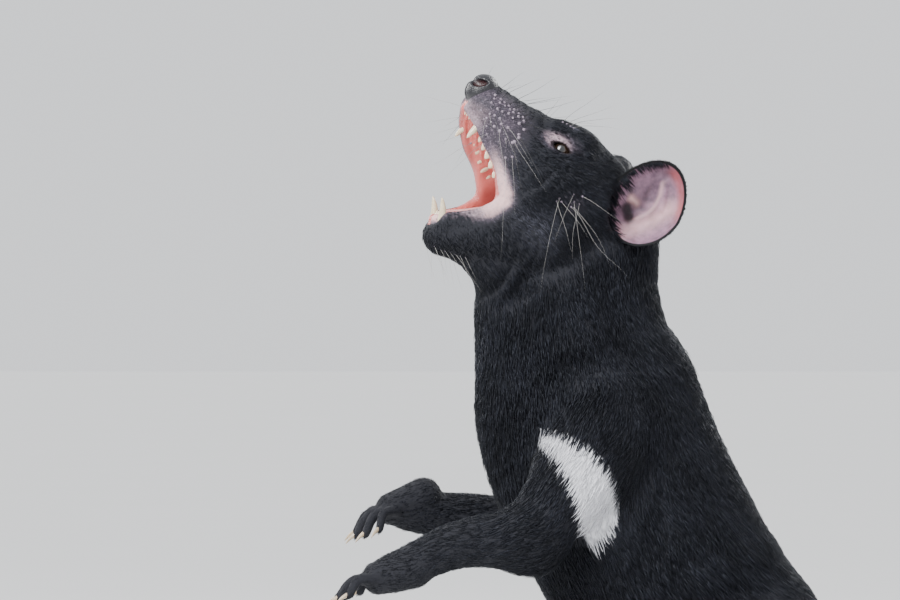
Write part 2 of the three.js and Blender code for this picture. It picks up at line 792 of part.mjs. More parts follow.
function hindLeg(side, trunk) {
  const thigh = mirrored(THIGH, side);
  const shank = mirrored(SHANK, side);
  const foot = mirrored(FOOT, side);
  const legField = field([chain(thigh, { factor: 0.85 }), chain(shank, { blend: 10 })]);
  const knee = jointPlane(thigh[1].slice(0, 3), shank[0].slice(0, 3), shank[1].slice(0, 3));
  const ankle = jointPlane(shank[1].slice(0, 3), shank[2].slice(0, 3), foot[2].slice(0, 3));
  const forward = vector(foot[2].slice(0, 3)).sub(vector(foot[0].slice(0, 3))).setZ(0).normalize();
  const aside = new THREE.Vector3(0, 0, 1).cross(forward).normalize();
  const ball = vector([foot[2][0], foot[2][1], TOE_HEIGHT]);
  const frame = new THREE.Matrix4().makeBasis(forward, aside, new THREE.Vector3(0, 0, 1)).setPosition(ball);
  const { chains, claws } = digits(frame, TOES, TOE_DROP);
  const footField = field([chain(shank, { blend: 10 }), chain(foot, { factor: 1.15 }), ...chains]);
  const leg = meshField(legField, { ...boxAround([...thigh, ...shank], 12), cell: [16, 14, 14] });
  const toeTip = [...ball.clone().addScaledVector(forward, TOE_REACH).toArray(), TOE_ROOM];
  const sole = meshField(footField, { ...boxAround([...foot, toeTip], 8), cell: [10, 8, 7.6] });
  return {
    thigh: above(leg, knee).subtract(trunk),
    shank: above(below(leg, knee), ankle).subtract(trunk),
    foot: onFloor(join([below(sole, ankle), ...claws])),
  };
}

function tongueForm() {
  const sections = [
    [42, 0, -93, 5],
    [56, 0, -87, 8],
    [74, 0, -76, 11],
  ];
  const tongueField = field([chain(sections, { ...inHeadFrame, factor: 1.6 })]);
  const grid = { low: [30, -24, -104], high: [90, 24, -60], cell: [9, 8, 6.5] };
  return meshField(tongueField, { frame: HEAD, ...grid });
}

function noseForm(grow) {
  const pad = [
    [10, 0, 3, 11],
    [12.5, 0, 8, 11.5],
  ];
  const noseField = field([chain(pad, { ...inHeadFrame, factor: 1.12 })]);
  const grid = { low: [-8, -22, -14], high: [32, 22, 28], cell: [4.4, 4.4, 4.4] };
  return meshField(noseField, { frame: HEAD, ...grid, grow });
}

function buildNodes() {
  const nodes = {};
  const headMesh = meshField(headField, HEAD_GRID);
  const headGrown = meshField(headField, { ...HEAD_GRID, grow: GAP });
  const eyes = { left: eyeForms(1), right: eyeForms(-1) };

  let head = above(above(headMesh, NECK_TOP), JAW_CUT);
  for (const eye of Object.values(eyes)) {
    head = head.add(eye.lids).subtract(eye.socket).subtract(eye.opening);
  }
  const upperLips = [1, -1].map((side) => above(lip(UPPER_LIP, side), JAW_CUT));
  head = join([head, ...upperLips, ...teeth(UPPER_TEETH)]);
  head = head.subtract(noseForm(GAP)).subtract(earRoom(1)).subtract(earRoom(-1));
  nodes.nose = noseForm(0).subtract(nostril(1)).subtract(nostril(-1));
  const jaw = below(above(headMesh, NECK_TOP), JAW_CUT);
  const lowerLips = [1, -1].map((side) => below(lip(LOWER_LIP, side), JAW_CUT));
  nodes.lower_jaw = join([jaw, ...lowerLips, ...teeth(LOWER_TEETH)]);
  nodes.head = head;
  nodes.eye_left = eyes.left.ball;
  nodes.eye_right = eyes.right.ball;
  nodes.ear_left = ear(1);
  nodes.ear_right = ear(-1);
  nodes.tongue = tongueForm().subtract(headGrown);

  const neckBox = { low: [-175, -92, 296], high: [40, 92, 470], cell: [18, 17, 18] };
  const neck = meshField(neckField, neckBox);
  nodes.neck = above(below(neck, NECK_TOP), NECK_BASE);
  const trunkBox = { low: [-170, -130, 5], high: [185, 130, 400], cell: [21, 19, 21] };
  const trunk = meshField(trunkField, trunkBox);
  const trunkGrown = meshField(trunkField, { ...trunkBox, grow: 1.2 * GAP });
  nodes.chest = above(below(trunk, NECK_BASE), WAIST);
  nodes.belly = below(below(trunk, WAIST), TAIL_ROOT);
  const tailBox = { low: [120, -40, -14], high: [412, 92, 112], cell: [22, 10.5, 10] };
  nodes.tail = onFloor(above(meshField(trunkField, tailBox), TAIL_ROOT));

  const legs = {
    left: { ...foreleg(1, FOREARM_LEFT, HAND_TURN_LEFT, trunkGrown), ...hindLeg(1, trunkGrown) },
    right: { ...foreleg(-1, FOREARM_RIGHT, HAND_TURN_RIGHT, trunkGrown), ...hindLeg(-1, trunkGrown) },
  };
  for (const [side, pieces] of Object.entries(legs)) {
    for (const [name, body] of Object.entries(pieces)) nodes[name + "_" + side] = body;
  }
  return nodes;
}

function materialFor(name) {
  const looks = [
    [/^eye/, COLOUR.eye, 0.08],
    [/^ear/, COLOUR.ear, 0.6],
    [/^nose/, COLOUR.nose, 0.3],
    [/^tongue/, COLOUR.mouth, 0.35],
    [/paw|foot/, COLOUR.muzzle, 0.8],
  ];
  const found = looks.find(([pattern]) => pattern.test(name));
  const [, color, roughness] = found ?? [null, COLOUR.coat, 0.9];
  return new THREE.MeshStandardMaterial({ color, roughness, metalness: 0 });
}

function meshOf(name, body) {
  const { numProp, numVert, vertProperties, triVerts } = largest(body).getMesh();
  const spots = new Float32Array(numVert * 3);
  for (let i = 0; i < numVert; i += 1) {
    spots.set(vertProperties.subarray(i * numProp, i * numProp + 3), i * 3);
  }
  const geometry = new THREE.BufferGeometry();
  geometry.setAttribute("position", new THREE.BufferAttribute(spots, 3));
  geometry.setIndex(new THREE.BufferAttribute(new Uint32Array(triVerts), 1));
  geometry.computeVertexNormals();
  const mesh = new THREE.Mesh(geometry, materialFor(name));
  mesh.name = name;
  return mesh;
}

const devil = new THREE.Group();
for (const [name, body] of Object.entries(buildNodes())) devil.add(meshOf(name, body));

// The origin is the middle of the box's underside
const box = new THREE.Box3().setFromObject(devil);
const middle = box.getCenter(new THREE.Vector3());
devil.position.set(-middle.x, -middle.y, -box.min.z);

export default devil;
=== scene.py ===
"""A life-size Tasmanian devil that rears with its jaws wide open: its skin, coat and features.

Shapes are worked out in millimetres in the body's own frame and turned into metres where a mesh is made.
The animal faces -X, its left side is towards -Y and +Z is up.
"""

from __future__ import annotations

import logging
import math
from collections.abc import Callable, Iterable
from dataclasses import dataclass, field
from enum import Enum

import bpy
import numpy as np
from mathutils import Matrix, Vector


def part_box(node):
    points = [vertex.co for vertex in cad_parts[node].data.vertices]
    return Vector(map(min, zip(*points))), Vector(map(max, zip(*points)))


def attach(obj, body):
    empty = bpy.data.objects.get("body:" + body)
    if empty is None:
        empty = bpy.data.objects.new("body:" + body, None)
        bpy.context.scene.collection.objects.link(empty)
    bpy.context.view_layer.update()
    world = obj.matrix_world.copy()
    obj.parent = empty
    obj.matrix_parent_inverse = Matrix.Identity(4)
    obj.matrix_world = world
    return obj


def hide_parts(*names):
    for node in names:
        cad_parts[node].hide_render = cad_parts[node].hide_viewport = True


Array = np.ndarray
Point = tuple[float, float, float]
Section = tuple[float, float, float, float]
Material = bpy.types.Material
Socket = bpy.types.NodeSocket

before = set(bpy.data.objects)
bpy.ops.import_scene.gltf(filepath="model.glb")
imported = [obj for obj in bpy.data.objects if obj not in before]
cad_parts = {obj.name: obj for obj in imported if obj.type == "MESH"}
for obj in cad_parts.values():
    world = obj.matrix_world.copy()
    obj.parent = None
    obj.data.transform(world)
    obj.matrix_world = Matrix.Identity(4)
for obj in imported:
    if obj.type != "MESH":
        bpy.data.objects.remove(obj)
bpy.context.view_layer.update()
log = logging.getLogger("devil")

MM = 0.001
FAR = 1000.0
SEED = 7


def unit(vectors: Array) -> Array:
    """Vectors scaled to a length of one."""
    return vectors / np.maximum(np.linalg.norm(vectors, axis=-1, keepdims=True), 1e-9)


def lengths(vectors: Array) -> Array:
    """The length of each vector."""
    return np.linalg.norm(vectors, axis=1)


def dots(a: Array, b: Array) -> Array:
    """The dot product of each pair of vectors."""
    return np.einsum("ij,ij->i", a, b)


def smooth_step(low: float, high: float, value: Array) -> Array:
    """A share from 0 at low to 1 at high, with soft ends."""
    t = np.clip((value - low) / (high - low), 0.0, 1.0)
    return t * t * (3 - 2 * t)


def ripple(points: Array, size: float) -> Array:
    """Uneven waves of about a size across points, from -1 to 1."""
    ways = np.array([(1, 0.3, -0.2), (-0.4, 0.9, 0.5), (0.2, -0.6, 1.1), (0.8, 0.7, 0.6), (-0.9, 0.5, -0.7)])
    turns = points @ ways.T * (2 * np.pi / size) * [1, 1.3, 0.8, 1.9, 2.3] + [0, 1, 2, 3, 4]
    return np.sin(turns + 1.5 * np.sin(turns[:, ::-1] * 0.37)).mean(1) * 1.4


def smooth_min(a: Array, b: Array, width: float) -> Array:
    """The lesser of two distances, rounded over a width where they are close."""
    mix = np.clip(0.5 + 0.5 * (b - a) / width, 0.0, 1.0)
    return b + (a - b) * mix - width * mix * (1 - mix)


def to_segment(points: Array, start: Array, end: Array) -> tuple[Array, Array]:
    """Finds the nearest places to points on a straight line.

    Args:
        points: The points, with as many coordinates as the line's ends.
        start: The line's start.
        end: The line's end.

    Returns:
        How far along the line each place is, from 0 to 1, and the point's offset from it.
    """
    run = end - start
    off = points - start
    share = np.clip(off @ run / (run @ run), 0, 1)
    off -= share[:, None] * run
    return share, off


@dataclass(frozen=True)
class HeadFrame:
    """The head's own frame: s runs back from the nose tip, l to the animal's left and h up."""

    nose_tip: Point = (-155.0, -40.0, 568.0)
    yaw: float = math.radians(20)
    pitch: float = math.radians(32)
    roll: float = math.radians(4)

    @property
    def axes(self) -> Array:
        """The directions of s, l and h in the body's frame, as rows."""
        forward = np.array([
            -math.cos(self.yaw) * math.cos(self.pitch),
            -math.sin(self.yaw) * math.cos(self.pitch),
            math.sin(self.pitch),
        ])
        level = np.array([math.sin(self.yaw), -math.cos(self.yaw), 0.0])
        crown = np.cross(forward, level)
        left = level * math.cos(self.roll) - crown * math.sin(self.roll)
        up = crown * math.cos(self.roll) + level * math.sin(self.roll)
        return np.stack([-forward, left, up])

    def out(self, points: Iterable) -> Array:
        """Points of the head's frame, in the body's frame."""
        return np.asarray(points, float) @ self.axes + np.array(self.nose_tip)

    def way(self, vectors: Iterable) -> Array:
        """Directions of the head's frame, in the body's frame."""
        return np.asarray(vectors, float) @ self.axes

    def into(self, points: Array) -> Array:
        """Points of the body's frame, in the head's frame."""
        return (points - np.array(self.nose_tip)) @ self.axes.T


HEAD = HeadFrame()


class Region(Enum):
    """Parts of the skin that are unwrapped, and coated, on their own."""

    TRUNK = 0
    HEAD = 1
    MOUTH = 2
    TAIL = 3
    ARM_LEFT = 4
    ARM_RIGHT = 5
    LEG_LEFT = 6
    LEG_RIGHT = 7


SIDES = {1: "left", -1: "right"}
ARMS = {1: Region.ARM_LEFT, -1: Region.ARM_RIGHT}
LEGS = {1: Region.LEG_LEFT, -1: Region.LEG_RIGHT}


def smooth_line(points: Array, per_span: int) -> Array:
    """A smooth line through points, with a number of samples in each span.

    Args:
        points: The line's points, each with any number of values.
        per_span: Samples in each span.

    Returns:
        The samples, from the first point to the last.
    """
    ends = np.concatenate([[2 * points[0] - points[1]], points, [2 * points[-1] - points[-2]]])
    samples = []
    for i in range(len(points) - 1):
        p0, p1, p2, p3 = ends[i : i + 4]
        gaps = [max(np.linalg.norm((b - a)[:3]) ** 0.5, 1e-4) for a, b in ((p0, p1), (p1, p2), (p2, p3))]
        d0, d1, d2 = gaps
        t1 = ((p1 - p0) / d0 - (p2 - p0) / (d0 + d1) + (p2 - p1) / d1) * d1
        t2 = ((p2 - p1) / d1 - (p3 - p1) / (d1 + d2) + (p3 - p2) / d2) * d1
        for k in range(per_span):
            t = k / per_span
            samples.append(
                p1 + t1 * t + (-3 * p1 + 3 * p2 - 2 * t1 - t2) * t**2 + (2 * p1 - 2 * p2 + t1 + t2) * t**3
            )
    samples.append(points[-1])
    return np.array(samples)


@dataclass
class Chain:
    """Round sections along a smooth line, which may be squeezed along one axis."""

    sections: Array
    region: Region
    factor: float = 1.0
    axis: Point = (0.0, 1.0, 0.0)
    blend: float = 12.0
    depth: float = 0.0
    hair: float = 12.0
    comb: Point | None = None
    steps: int = 5
    samples: Array = field(init=False)
    radii: Array = field(init=False)
    stretch: Array = field(init=False)

    def __post_init__(self) -> None:
        """Samples the line, with the coat's depth taken off its radii."""
        sections = np.asarray(self.sections, float)
        line = smooth_line(sections, self.steps)
        radii = np.interp(np.linspace(0, len(sections) - 1, len(line)), range(len(sections)), sections[:, 3])
        self.samples = line[:, :3]
        self.radii = radii - self.depth
        along = unit(np.array(self.axis, float))
        self.stretch = np.eye(3) + np.outer(along, along) * (1 / self.factor - 1)

    def nearest(self, points: Array, reach: float = 30.0) -> tuple[Array, Array, Array]:
        """How far points are from the chain's surface, as its squeezed space measures it.

        Args:
            points: Points in the body's frame.
            reach: Points further off than this are only called far.

        Returns:
            The distances, the indices of the points that are near, and the nearest segment of each of those.
        """
        margin = self.radii.max() * max(1.0, self.factor) + reach
        low = self.samples.min(0) - margin
        high = self.samples.max(0) + margin
        near = np.flatnonzero(np.all((points > low) & (points < high), axis=1))
        result = np.full(len(points), FAR)
        segment = np.zeros(len(near), int)
        if not len(near):
            return result, near, segment
        spots = points[near] @ self.stretch
        line = self.samples @ self.stretch
        best = np.full(len(near), FAR)
        for i, (start, end) in enumerate(zip(line[:-1], line[1:])):
            share, off = to_segment(spots, start, end)
            radius = self.radii[i] + share * (self.radii[i + 1] - self.radii[i])
            away = np.sqrt(dots(off, off)) - radius
            closer = away < best
            best[closer] = away[closer]
            segment[closer] = i
        result[near] = best
        return result, near, segment


def nearest_of(chains: Iterable[Chain], points: Array) -> Array:
    """How far points are from the nearest of several chains."""
    return np.minimum.reduce([chain.nearest(points)[0] for chain in chains])


def head_chain(sections: Iterable[Section], **options: object) -> Chain:
    """A chain given in the head's frame, whose coat lies back along the head."""
    sections = np.asarray(sections, float)
    placed = np.column_stack([HEAD.out(sections[:, :3]), sections[:, 3]])
    options = {"region": Region.HEAD, "axis": tuple(HEAD.axes[1]), "comb": (1.0, 0.0, -0.12), **options}
    return Chain(placed, **options)


def head_pair(sections: Iterable[Section], **options: object) -> list[Chain]:
    """A chain of the head and its mirror image across the head's middle plane."""
    other = [(s, -l, h, r) for s, l, h, r in sections]
    return [head_chain(sections, **options), head_chain(other, **options)]


def body_pair(sections: Iterable[Section], **options: object) -> list[Chain]:
    """A chain of the body's left side and its mirror image."""
    left = np.asarray(sections, float)
    return [Chain(left, **options), Chain(left * [1, -1, 1, 1], **options)]


@dataclass
class Flesh:
    """A field that is negative inside: chains that melt into each other, with hollows taken out."""

    chains: list[Chain]
    hollows: list[Chain] = field(default_factory=list)
    extras: list[Callable[[Array, Array], Array]] = field(default_factory=list)

    def distance(self, points: Array) -> Array:
        """Roughly how far points are from the surface, negative inside."""
        inside = np.full(len(points), FAR)
        for chains, sign in ((self.chains, 1), (self.hollows, -1)):
            for chain in chains:
                away, near, _ = chain.nearest(points)
                if len(near):
                    inside[near] = sign * smooth_min(sign * inside[near], away[near], chain.blend)
        for extra in self.extras:
            inside = extra(points, inside)
        return inside

    def gradient(self, points: Array, step: float = 0.15) -> Array:
        """The field's slope at points, from four probes around each."""
        corners = np.array([[1, 1, 1], [1, -1, -1], [-1, 1, -1], [-1, -1, 1]], float)
        total = np.zeros_like(points)
        for corner in corners:
            total += self.distance(points + step * corner)[:, None] * corner
        return total / (4 * step)

    def settled(self, points: Array, passes: int = 2, most: float = 2.0) -> Array:
        """Points drawn onto the surface.

        Args:
            points: Points near the surface.
            passes: How many times they are drawn.
            most: The furthest that a point moves in one pass.

        Returns:
            The moved points.
        """
        for _ in range(passes):
            slope = self.gradient(points)
            size = np.maximum(dots(slope, slope), 0.2)
            move = -self.distance(points)[:, None] * slope / size[:, None]
            length = np.linalg.norm(move, axis=1, keepdims=True)
            points = points + move * np.minimum(1.0, most / np.maximum(length, 1e-9))
        return points


@dataclass
class Net:
    """A skin of four-sided faces, some of which have extra corners beside finer faces."""

    points: Array
    quads: Array
    rims: list[list[int]] = field(default_factory=list)

    @classmethod
    def around(cls, flesh: Flesh, low: Point, high: Point, cell: float, coarse: int = 4) -> Net:
        """A net with one point in each grid cell that the field's surface crosses.

        Args:
            flesh: The field.
            low: The grid's lowest corner.
            high: The grid's highest corner.
            cell: The size of a cell.
            coarse: How many cells a first, coarser look skips.

        Returns:
            The net.
        """
        low = np.array(low, float)
        blocks = np.ceil((np.array(high) - low) / (cell * coarse)).astype(int)
        rough = np.stack(np.meshgrid(*[np.arange(n) for n in blocks], indexing="ij"), -1).reshape(-1, 3)
        centres = low + (rough + 0.5) * cell * coarse
        away = flesh.distance(centres)
        near = np.abs(away) < cell * coarse * 1.5 + 4
        inside = away < 0
        size = blocks * coarse + 1
        values = np.full(size, FAR)
        for spot in rough[inside & ~near]:
            a = spot * coarse
            values[a[0] : a[0] + coarse, a[1] : a[1] + coarse, a[2] : a[2] + coarse] = -FAR
        offsets = np.stack(np.meshgrid(*[np.arange(coarse + 1)] * 3, indexing="ij"), -1).reshape(-1, 3)
        spots = (rough[near][:, None, :] * coarse + offsets).reshape(-1, 3)
        flat = np.unique(np.ravel_multi_index(spots.T, size))
        spots = np.stack(np.unravel_index(flat, size), -1)
        values.ravel()[flat] = flesh.distance(low + spots * cell)
        return cls.from_grid(values, low, cell)

    @classmethod
    def from_grid(cls, values: Array, low: Array, cell: float) -> Net:
        """A net from a grid of field values.

        Args:
            values: The field at the grid's points.
            low: The grid's lowest corner.
            cell: The size of a cell.

        Returns:
            The net.
        """
        inside = values < 0
        corners = np.array([[c & 1, (c >> 1) & 1, (c >> 2) & 1] for c in range(8)])
        wide, deep, high = np.array(inside.shape) - 1
        counts = sum(inside[a : wide + a, b : deep + b, c : high + c].astype(int) for a, b, c in corners)
        cells = np.argwhere((counts > 0) & (counts < 8))
        ids = np.full(counts.shape, -1)
        ids[tuple(cells.T)] = np.arange(len(cells))
        here = np.stack([values[tuple((cells + corner).T)] for corner in corners], 1)
        total = np.zeros((len(cells), 3))
        crossings = np.zeros(len(cells))
        for a in range(8):
            for bit in (1, 2, 4):
                b = a | bit
                if a == b:
                    continue
                crossed = (here[:, a] < 0) != (here[:, b] < 0)
                t = here[crossed, a] / (here[crossed, a] - here[crossed, b])
                total[crossed] += corners[a] + t[:, None] * (corners[b] - corners[a])
                crossings[crossed] += 1
        points = low + (cells + total / crossings[:, None]) * cell

        ways = (
            ((1, 0, 0), ((0, -1, -1), (0, 0, -1), (0, 0, 0), (0, -1, 0))),
            ((0, 1, 0), ((-1, 0, -1), (-1, 0, 0), (0, 0, 0), (0, 0, -1))),
            ((0, 0, 1), ((-1, -1, 0), (0, -1, 0), (0, 0, 0), (-1, 0, 0))),
        )
        quads = []
        for step, around in ways:
            ahead = inside[step[0] :, step[1] :, step[2] :]
            start = inside[: ahead.shape[0], : ahead.shape[1], : ahead.shape[2]]
            edges = np.argwhere(start != ahead)
            outward = start[tuple(edges.T)]
            faces = np.stack([ids[tuple((edges + np.array(offset)).T)] for offset in around], 1)
            faces[~outward] = faces[~outward][:, ::-1]
            quads.append(faces)
        return cls(points, np.concatenate(quads))

    def split(self, chosen: Array) -> None:
        """Splits the chosen quads in four, and gives their neighbours the new corners on their edges."""
        picked = self.quads[chosen]
        kept = self.quads[~chosen]
        ends = np.sort(np.stack([picked, np.roll(picked, -1, 1)], 2).reshape(-1, 2), 1)
        count = len(self.points)
        keys, inverse = np.unique(ends[:, 0] * count + ends[:, 1], return_inverse=True)
        middles = (self.points[keys // count] + self.points[keys % count]) / 2
        middle = count + inverse.reshape(-1, 4)
        centre = count + len(keys) + np.arange(len(picked))
        fresh = [np.stack([picked[:, k], middle[:, k], centre, middle[:, k - 1]], 1) for k in range(4)]
        self.points = np.concatenate([self.points, middles, self.points[picked].mean(1)])

        ends = np.sort(np.stack([kept, np.roll(kept, -1, 1)], 2), 2)
        kept_keys = ends[..., 0] * count + ends[..., 1]
        spots = np.minimum(np.searchsorted(keys, kept_keys), len(keys) - 1)
        shared = keys[spots] == kept_keys
        beside = shared.any(1)
        for corners, where, hit in zip(kept[beside], spots[beside], shared[beside]):
            rim = []
            for k in range(4):
                rim.append(int(corners[k]))
                if hit[k]:
                    rim.append(int(count + where[k]))
            self.rims.append(rim)
        self.quads = np.concatenate([kept[~beside], *fresh])

    def centres(self) -> Array:
        """The middle of each quad."""
        return self.points[self.quads].mean(1)

    def triangles(self) -> Array:
        """All faces as triangles."""
        fans = [[rim[0], rim[k], rim[k + 1]] for rim in self.rims for k in range(1, len(rim) - 1)]
        halves = [self.quads[:, [0, 1, 2]], self.quads[:, [0, 2, 3]]]
        return np.concatenate([*halves, np.array(fans, int).reshape(-1, 3)])


def eye_ball_centre() -> Array:
    """Where the frame holds the left eyeball, in metres."""
    low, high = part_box("eye_left")
    return np.array((low + high) / 2)


class Feature:
    """Something set into both sides of the head, with a frame of its own on each."""

    def frame(self, side: int) -> tuple[Array, Array]:
        """Its middle on the left (1) or right (-1) side, and its axes as rows."""
        raise NotImplementedError

    def local(self, points: Array, side: int) -> Array:
        """Points of the body's frame, in its own frame on one side."""
        centre, axes = self.frame(side)
        return (points - centre) @ axes.T


@dataclass(frozen=True)
class Eye(Feature):
    """One eyeball, its lids and the almond opening between them, in the head's frame."""

    at: Point = (86.0, 28.0, -4.0)
    radius: float = 8.5
    gaze: Point = (-0.45, 0.85, 0.12)
    lid: float = 1.5
    long: float = 18.5
    high: float = 8.4
    pit: float = 5.5

    def frame(self, side: int) -> tuple[Array, Array]:
        """The eye's centre and its axes: along the opening, across it and outward."""
        s, l, h = self.at
        gaze = unit(HEAD.way((self.gaze[0], side * self.gaze[1], self.gaze[2])))
        along = HEAD.way((-1, 0, 0.05))
        across = unit(np.cross(gaze, along))
        return HEAD.out((s, side * l, h)), np.stack([unit(np.cross(across, gaze)), across, gaze])

    def open_half_height(self, along: Array) -> Array:
        """Half the height of the opening between the lids at places along it."""
        return 0.5 * self.high * np.clip(1 - (2 * along / self.long) ** 2, -1.0, 1.0)

    def lid_edge(self, points: Array) -> Array:
        """How far points on the lids are from the opening, in front of the ball."""
        result = np.full(len(points), FAR)
        for side in SIDES:
            local = self.local(points, side)
            rim = np.abs(local[:, 1]) - self.open_half_height(local[:, 0])
            ahead = (local[:, 2] > 0) & (lengths(local) < self.radius + 6)
            result[ahead] = np.minimum(result[ahead], rim[ahead])
        return result

    def carve(self, points: Array, inside: Array) -> Array:
        """Adds the swelling of the lids to a field and takes the opening between them out."""
        inside = inside.copy()
        for side in SIDES:
            local = self.local(points, side)
            away = lengths(local)
            near = away < self.radius + 14
            spot = local[near]
            ball = away[near] - (self.radius + self.lid)
            flesh = smooth_min(inside[near], ball, 3.5)
            rim = np.abs(spot[:, 1]) - self.open_half_height(spot[:, 0])
            rim = np.maximum(rim * 0.8, np.maximum(self.radius - self.pit + 1.5 - away[near], -spot[:, 2]))
            inside[near] = -smooth_min(-flesh, rim, 0.9)
        return inside


EYE = Eye()
SHIFT = eye_ball_centre() / MM - HEAD.out(EYE.at)


def to_metres(points: Array) -> Array:
    """Points of the body's frame, in millimetres, as metres in the frame of the solids."""
    return (points + SHIFT) * MM


@dataclass
class Piece:
    """A mesh on its way to Blender: points in millimetres, faces, and what each corner carries."""

    name: str
    points: Array
    faces: Array | list
    attributes: dict[str, Array] = field(default_factory=dict)
    uvs: Array | None = None

    def build(self, material: Material, slot: str, replaces: Iterable[str] = ()) -> bpy.types.Object:
        """Makes the Blender object, rides it on the body and dresses it.

        Args:
            material: The piece's finish.
            slot: The record's material slot; it is not used.
            replaces: The solids that the piece stands for.

        Returns:
            The object.
        """
        mesh = bpy.data.meshes.new(self.name)
        if isinstance(self.faces, list):
            mesh.from_pydata(to_metres(self.points).tolist(), [], self.faces)
        else:
            count, sides = self.faces.shape
            mesh.vertices.add(len(self.points))
            mesh.vertices.foreach_set("co", to_metres(self.points).astype(np.float32).ravel())
            mesh.loops.add(count * sides)
            mesh.loops.foreach_set("vertex_index", self.faces.astype(np.int32).ravel())
            mesh.polygons.add(count)
            mesh.polygons.foreach_set("loop_start", np.arange(0, count * sides, sides, dtype=np.int32))
            mesh.update(calc_edges=True)
        mesh.shade_smooth()
        for label, values in self.attributes.items():
            if values.ndim == 2:
                layer = mesh.attributes.new(label, "FLOAT_COLOR", "POINT")
                layer.data.foreach_set("color", values.astype(np.float32).ravel())
            else:
                layer = mesh.attributes.new(label, "FLOAT", "POINT")
                layer.data.foreach_set("value", values.astype(np.float32))
        if self.uvs is not None:
            mesh.uv_layers.new(name="OFBake").data.foreach_set("uv", self.uvs.astype(np.float32).ravel())
        mesh.materials.append(material)
        piece = bpy.data.objects.new(self.name, mesh)
        bpy.context.scene.collection.objects.link(piece)
        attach(piece, "root")
        if replaces:
            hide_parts(*replaces)
        log.info("%s: %d points, %d faces", self.name, len(mesh.vertices), len(mesh.polygons))
        return piece


@dataclass(frozen=True)
class Digit:
    """One finger or toe: its sideways place and turn at the knuckle, its length and its radius."""

    side: float
    turn: float
    length: float
    radius: float


@dataclass
class Limb:
    """A limb's chains, with where each claw grows and which way it points."""

    chains: list[Chain]
    claws: list[tuple[Array, Array, Array]]


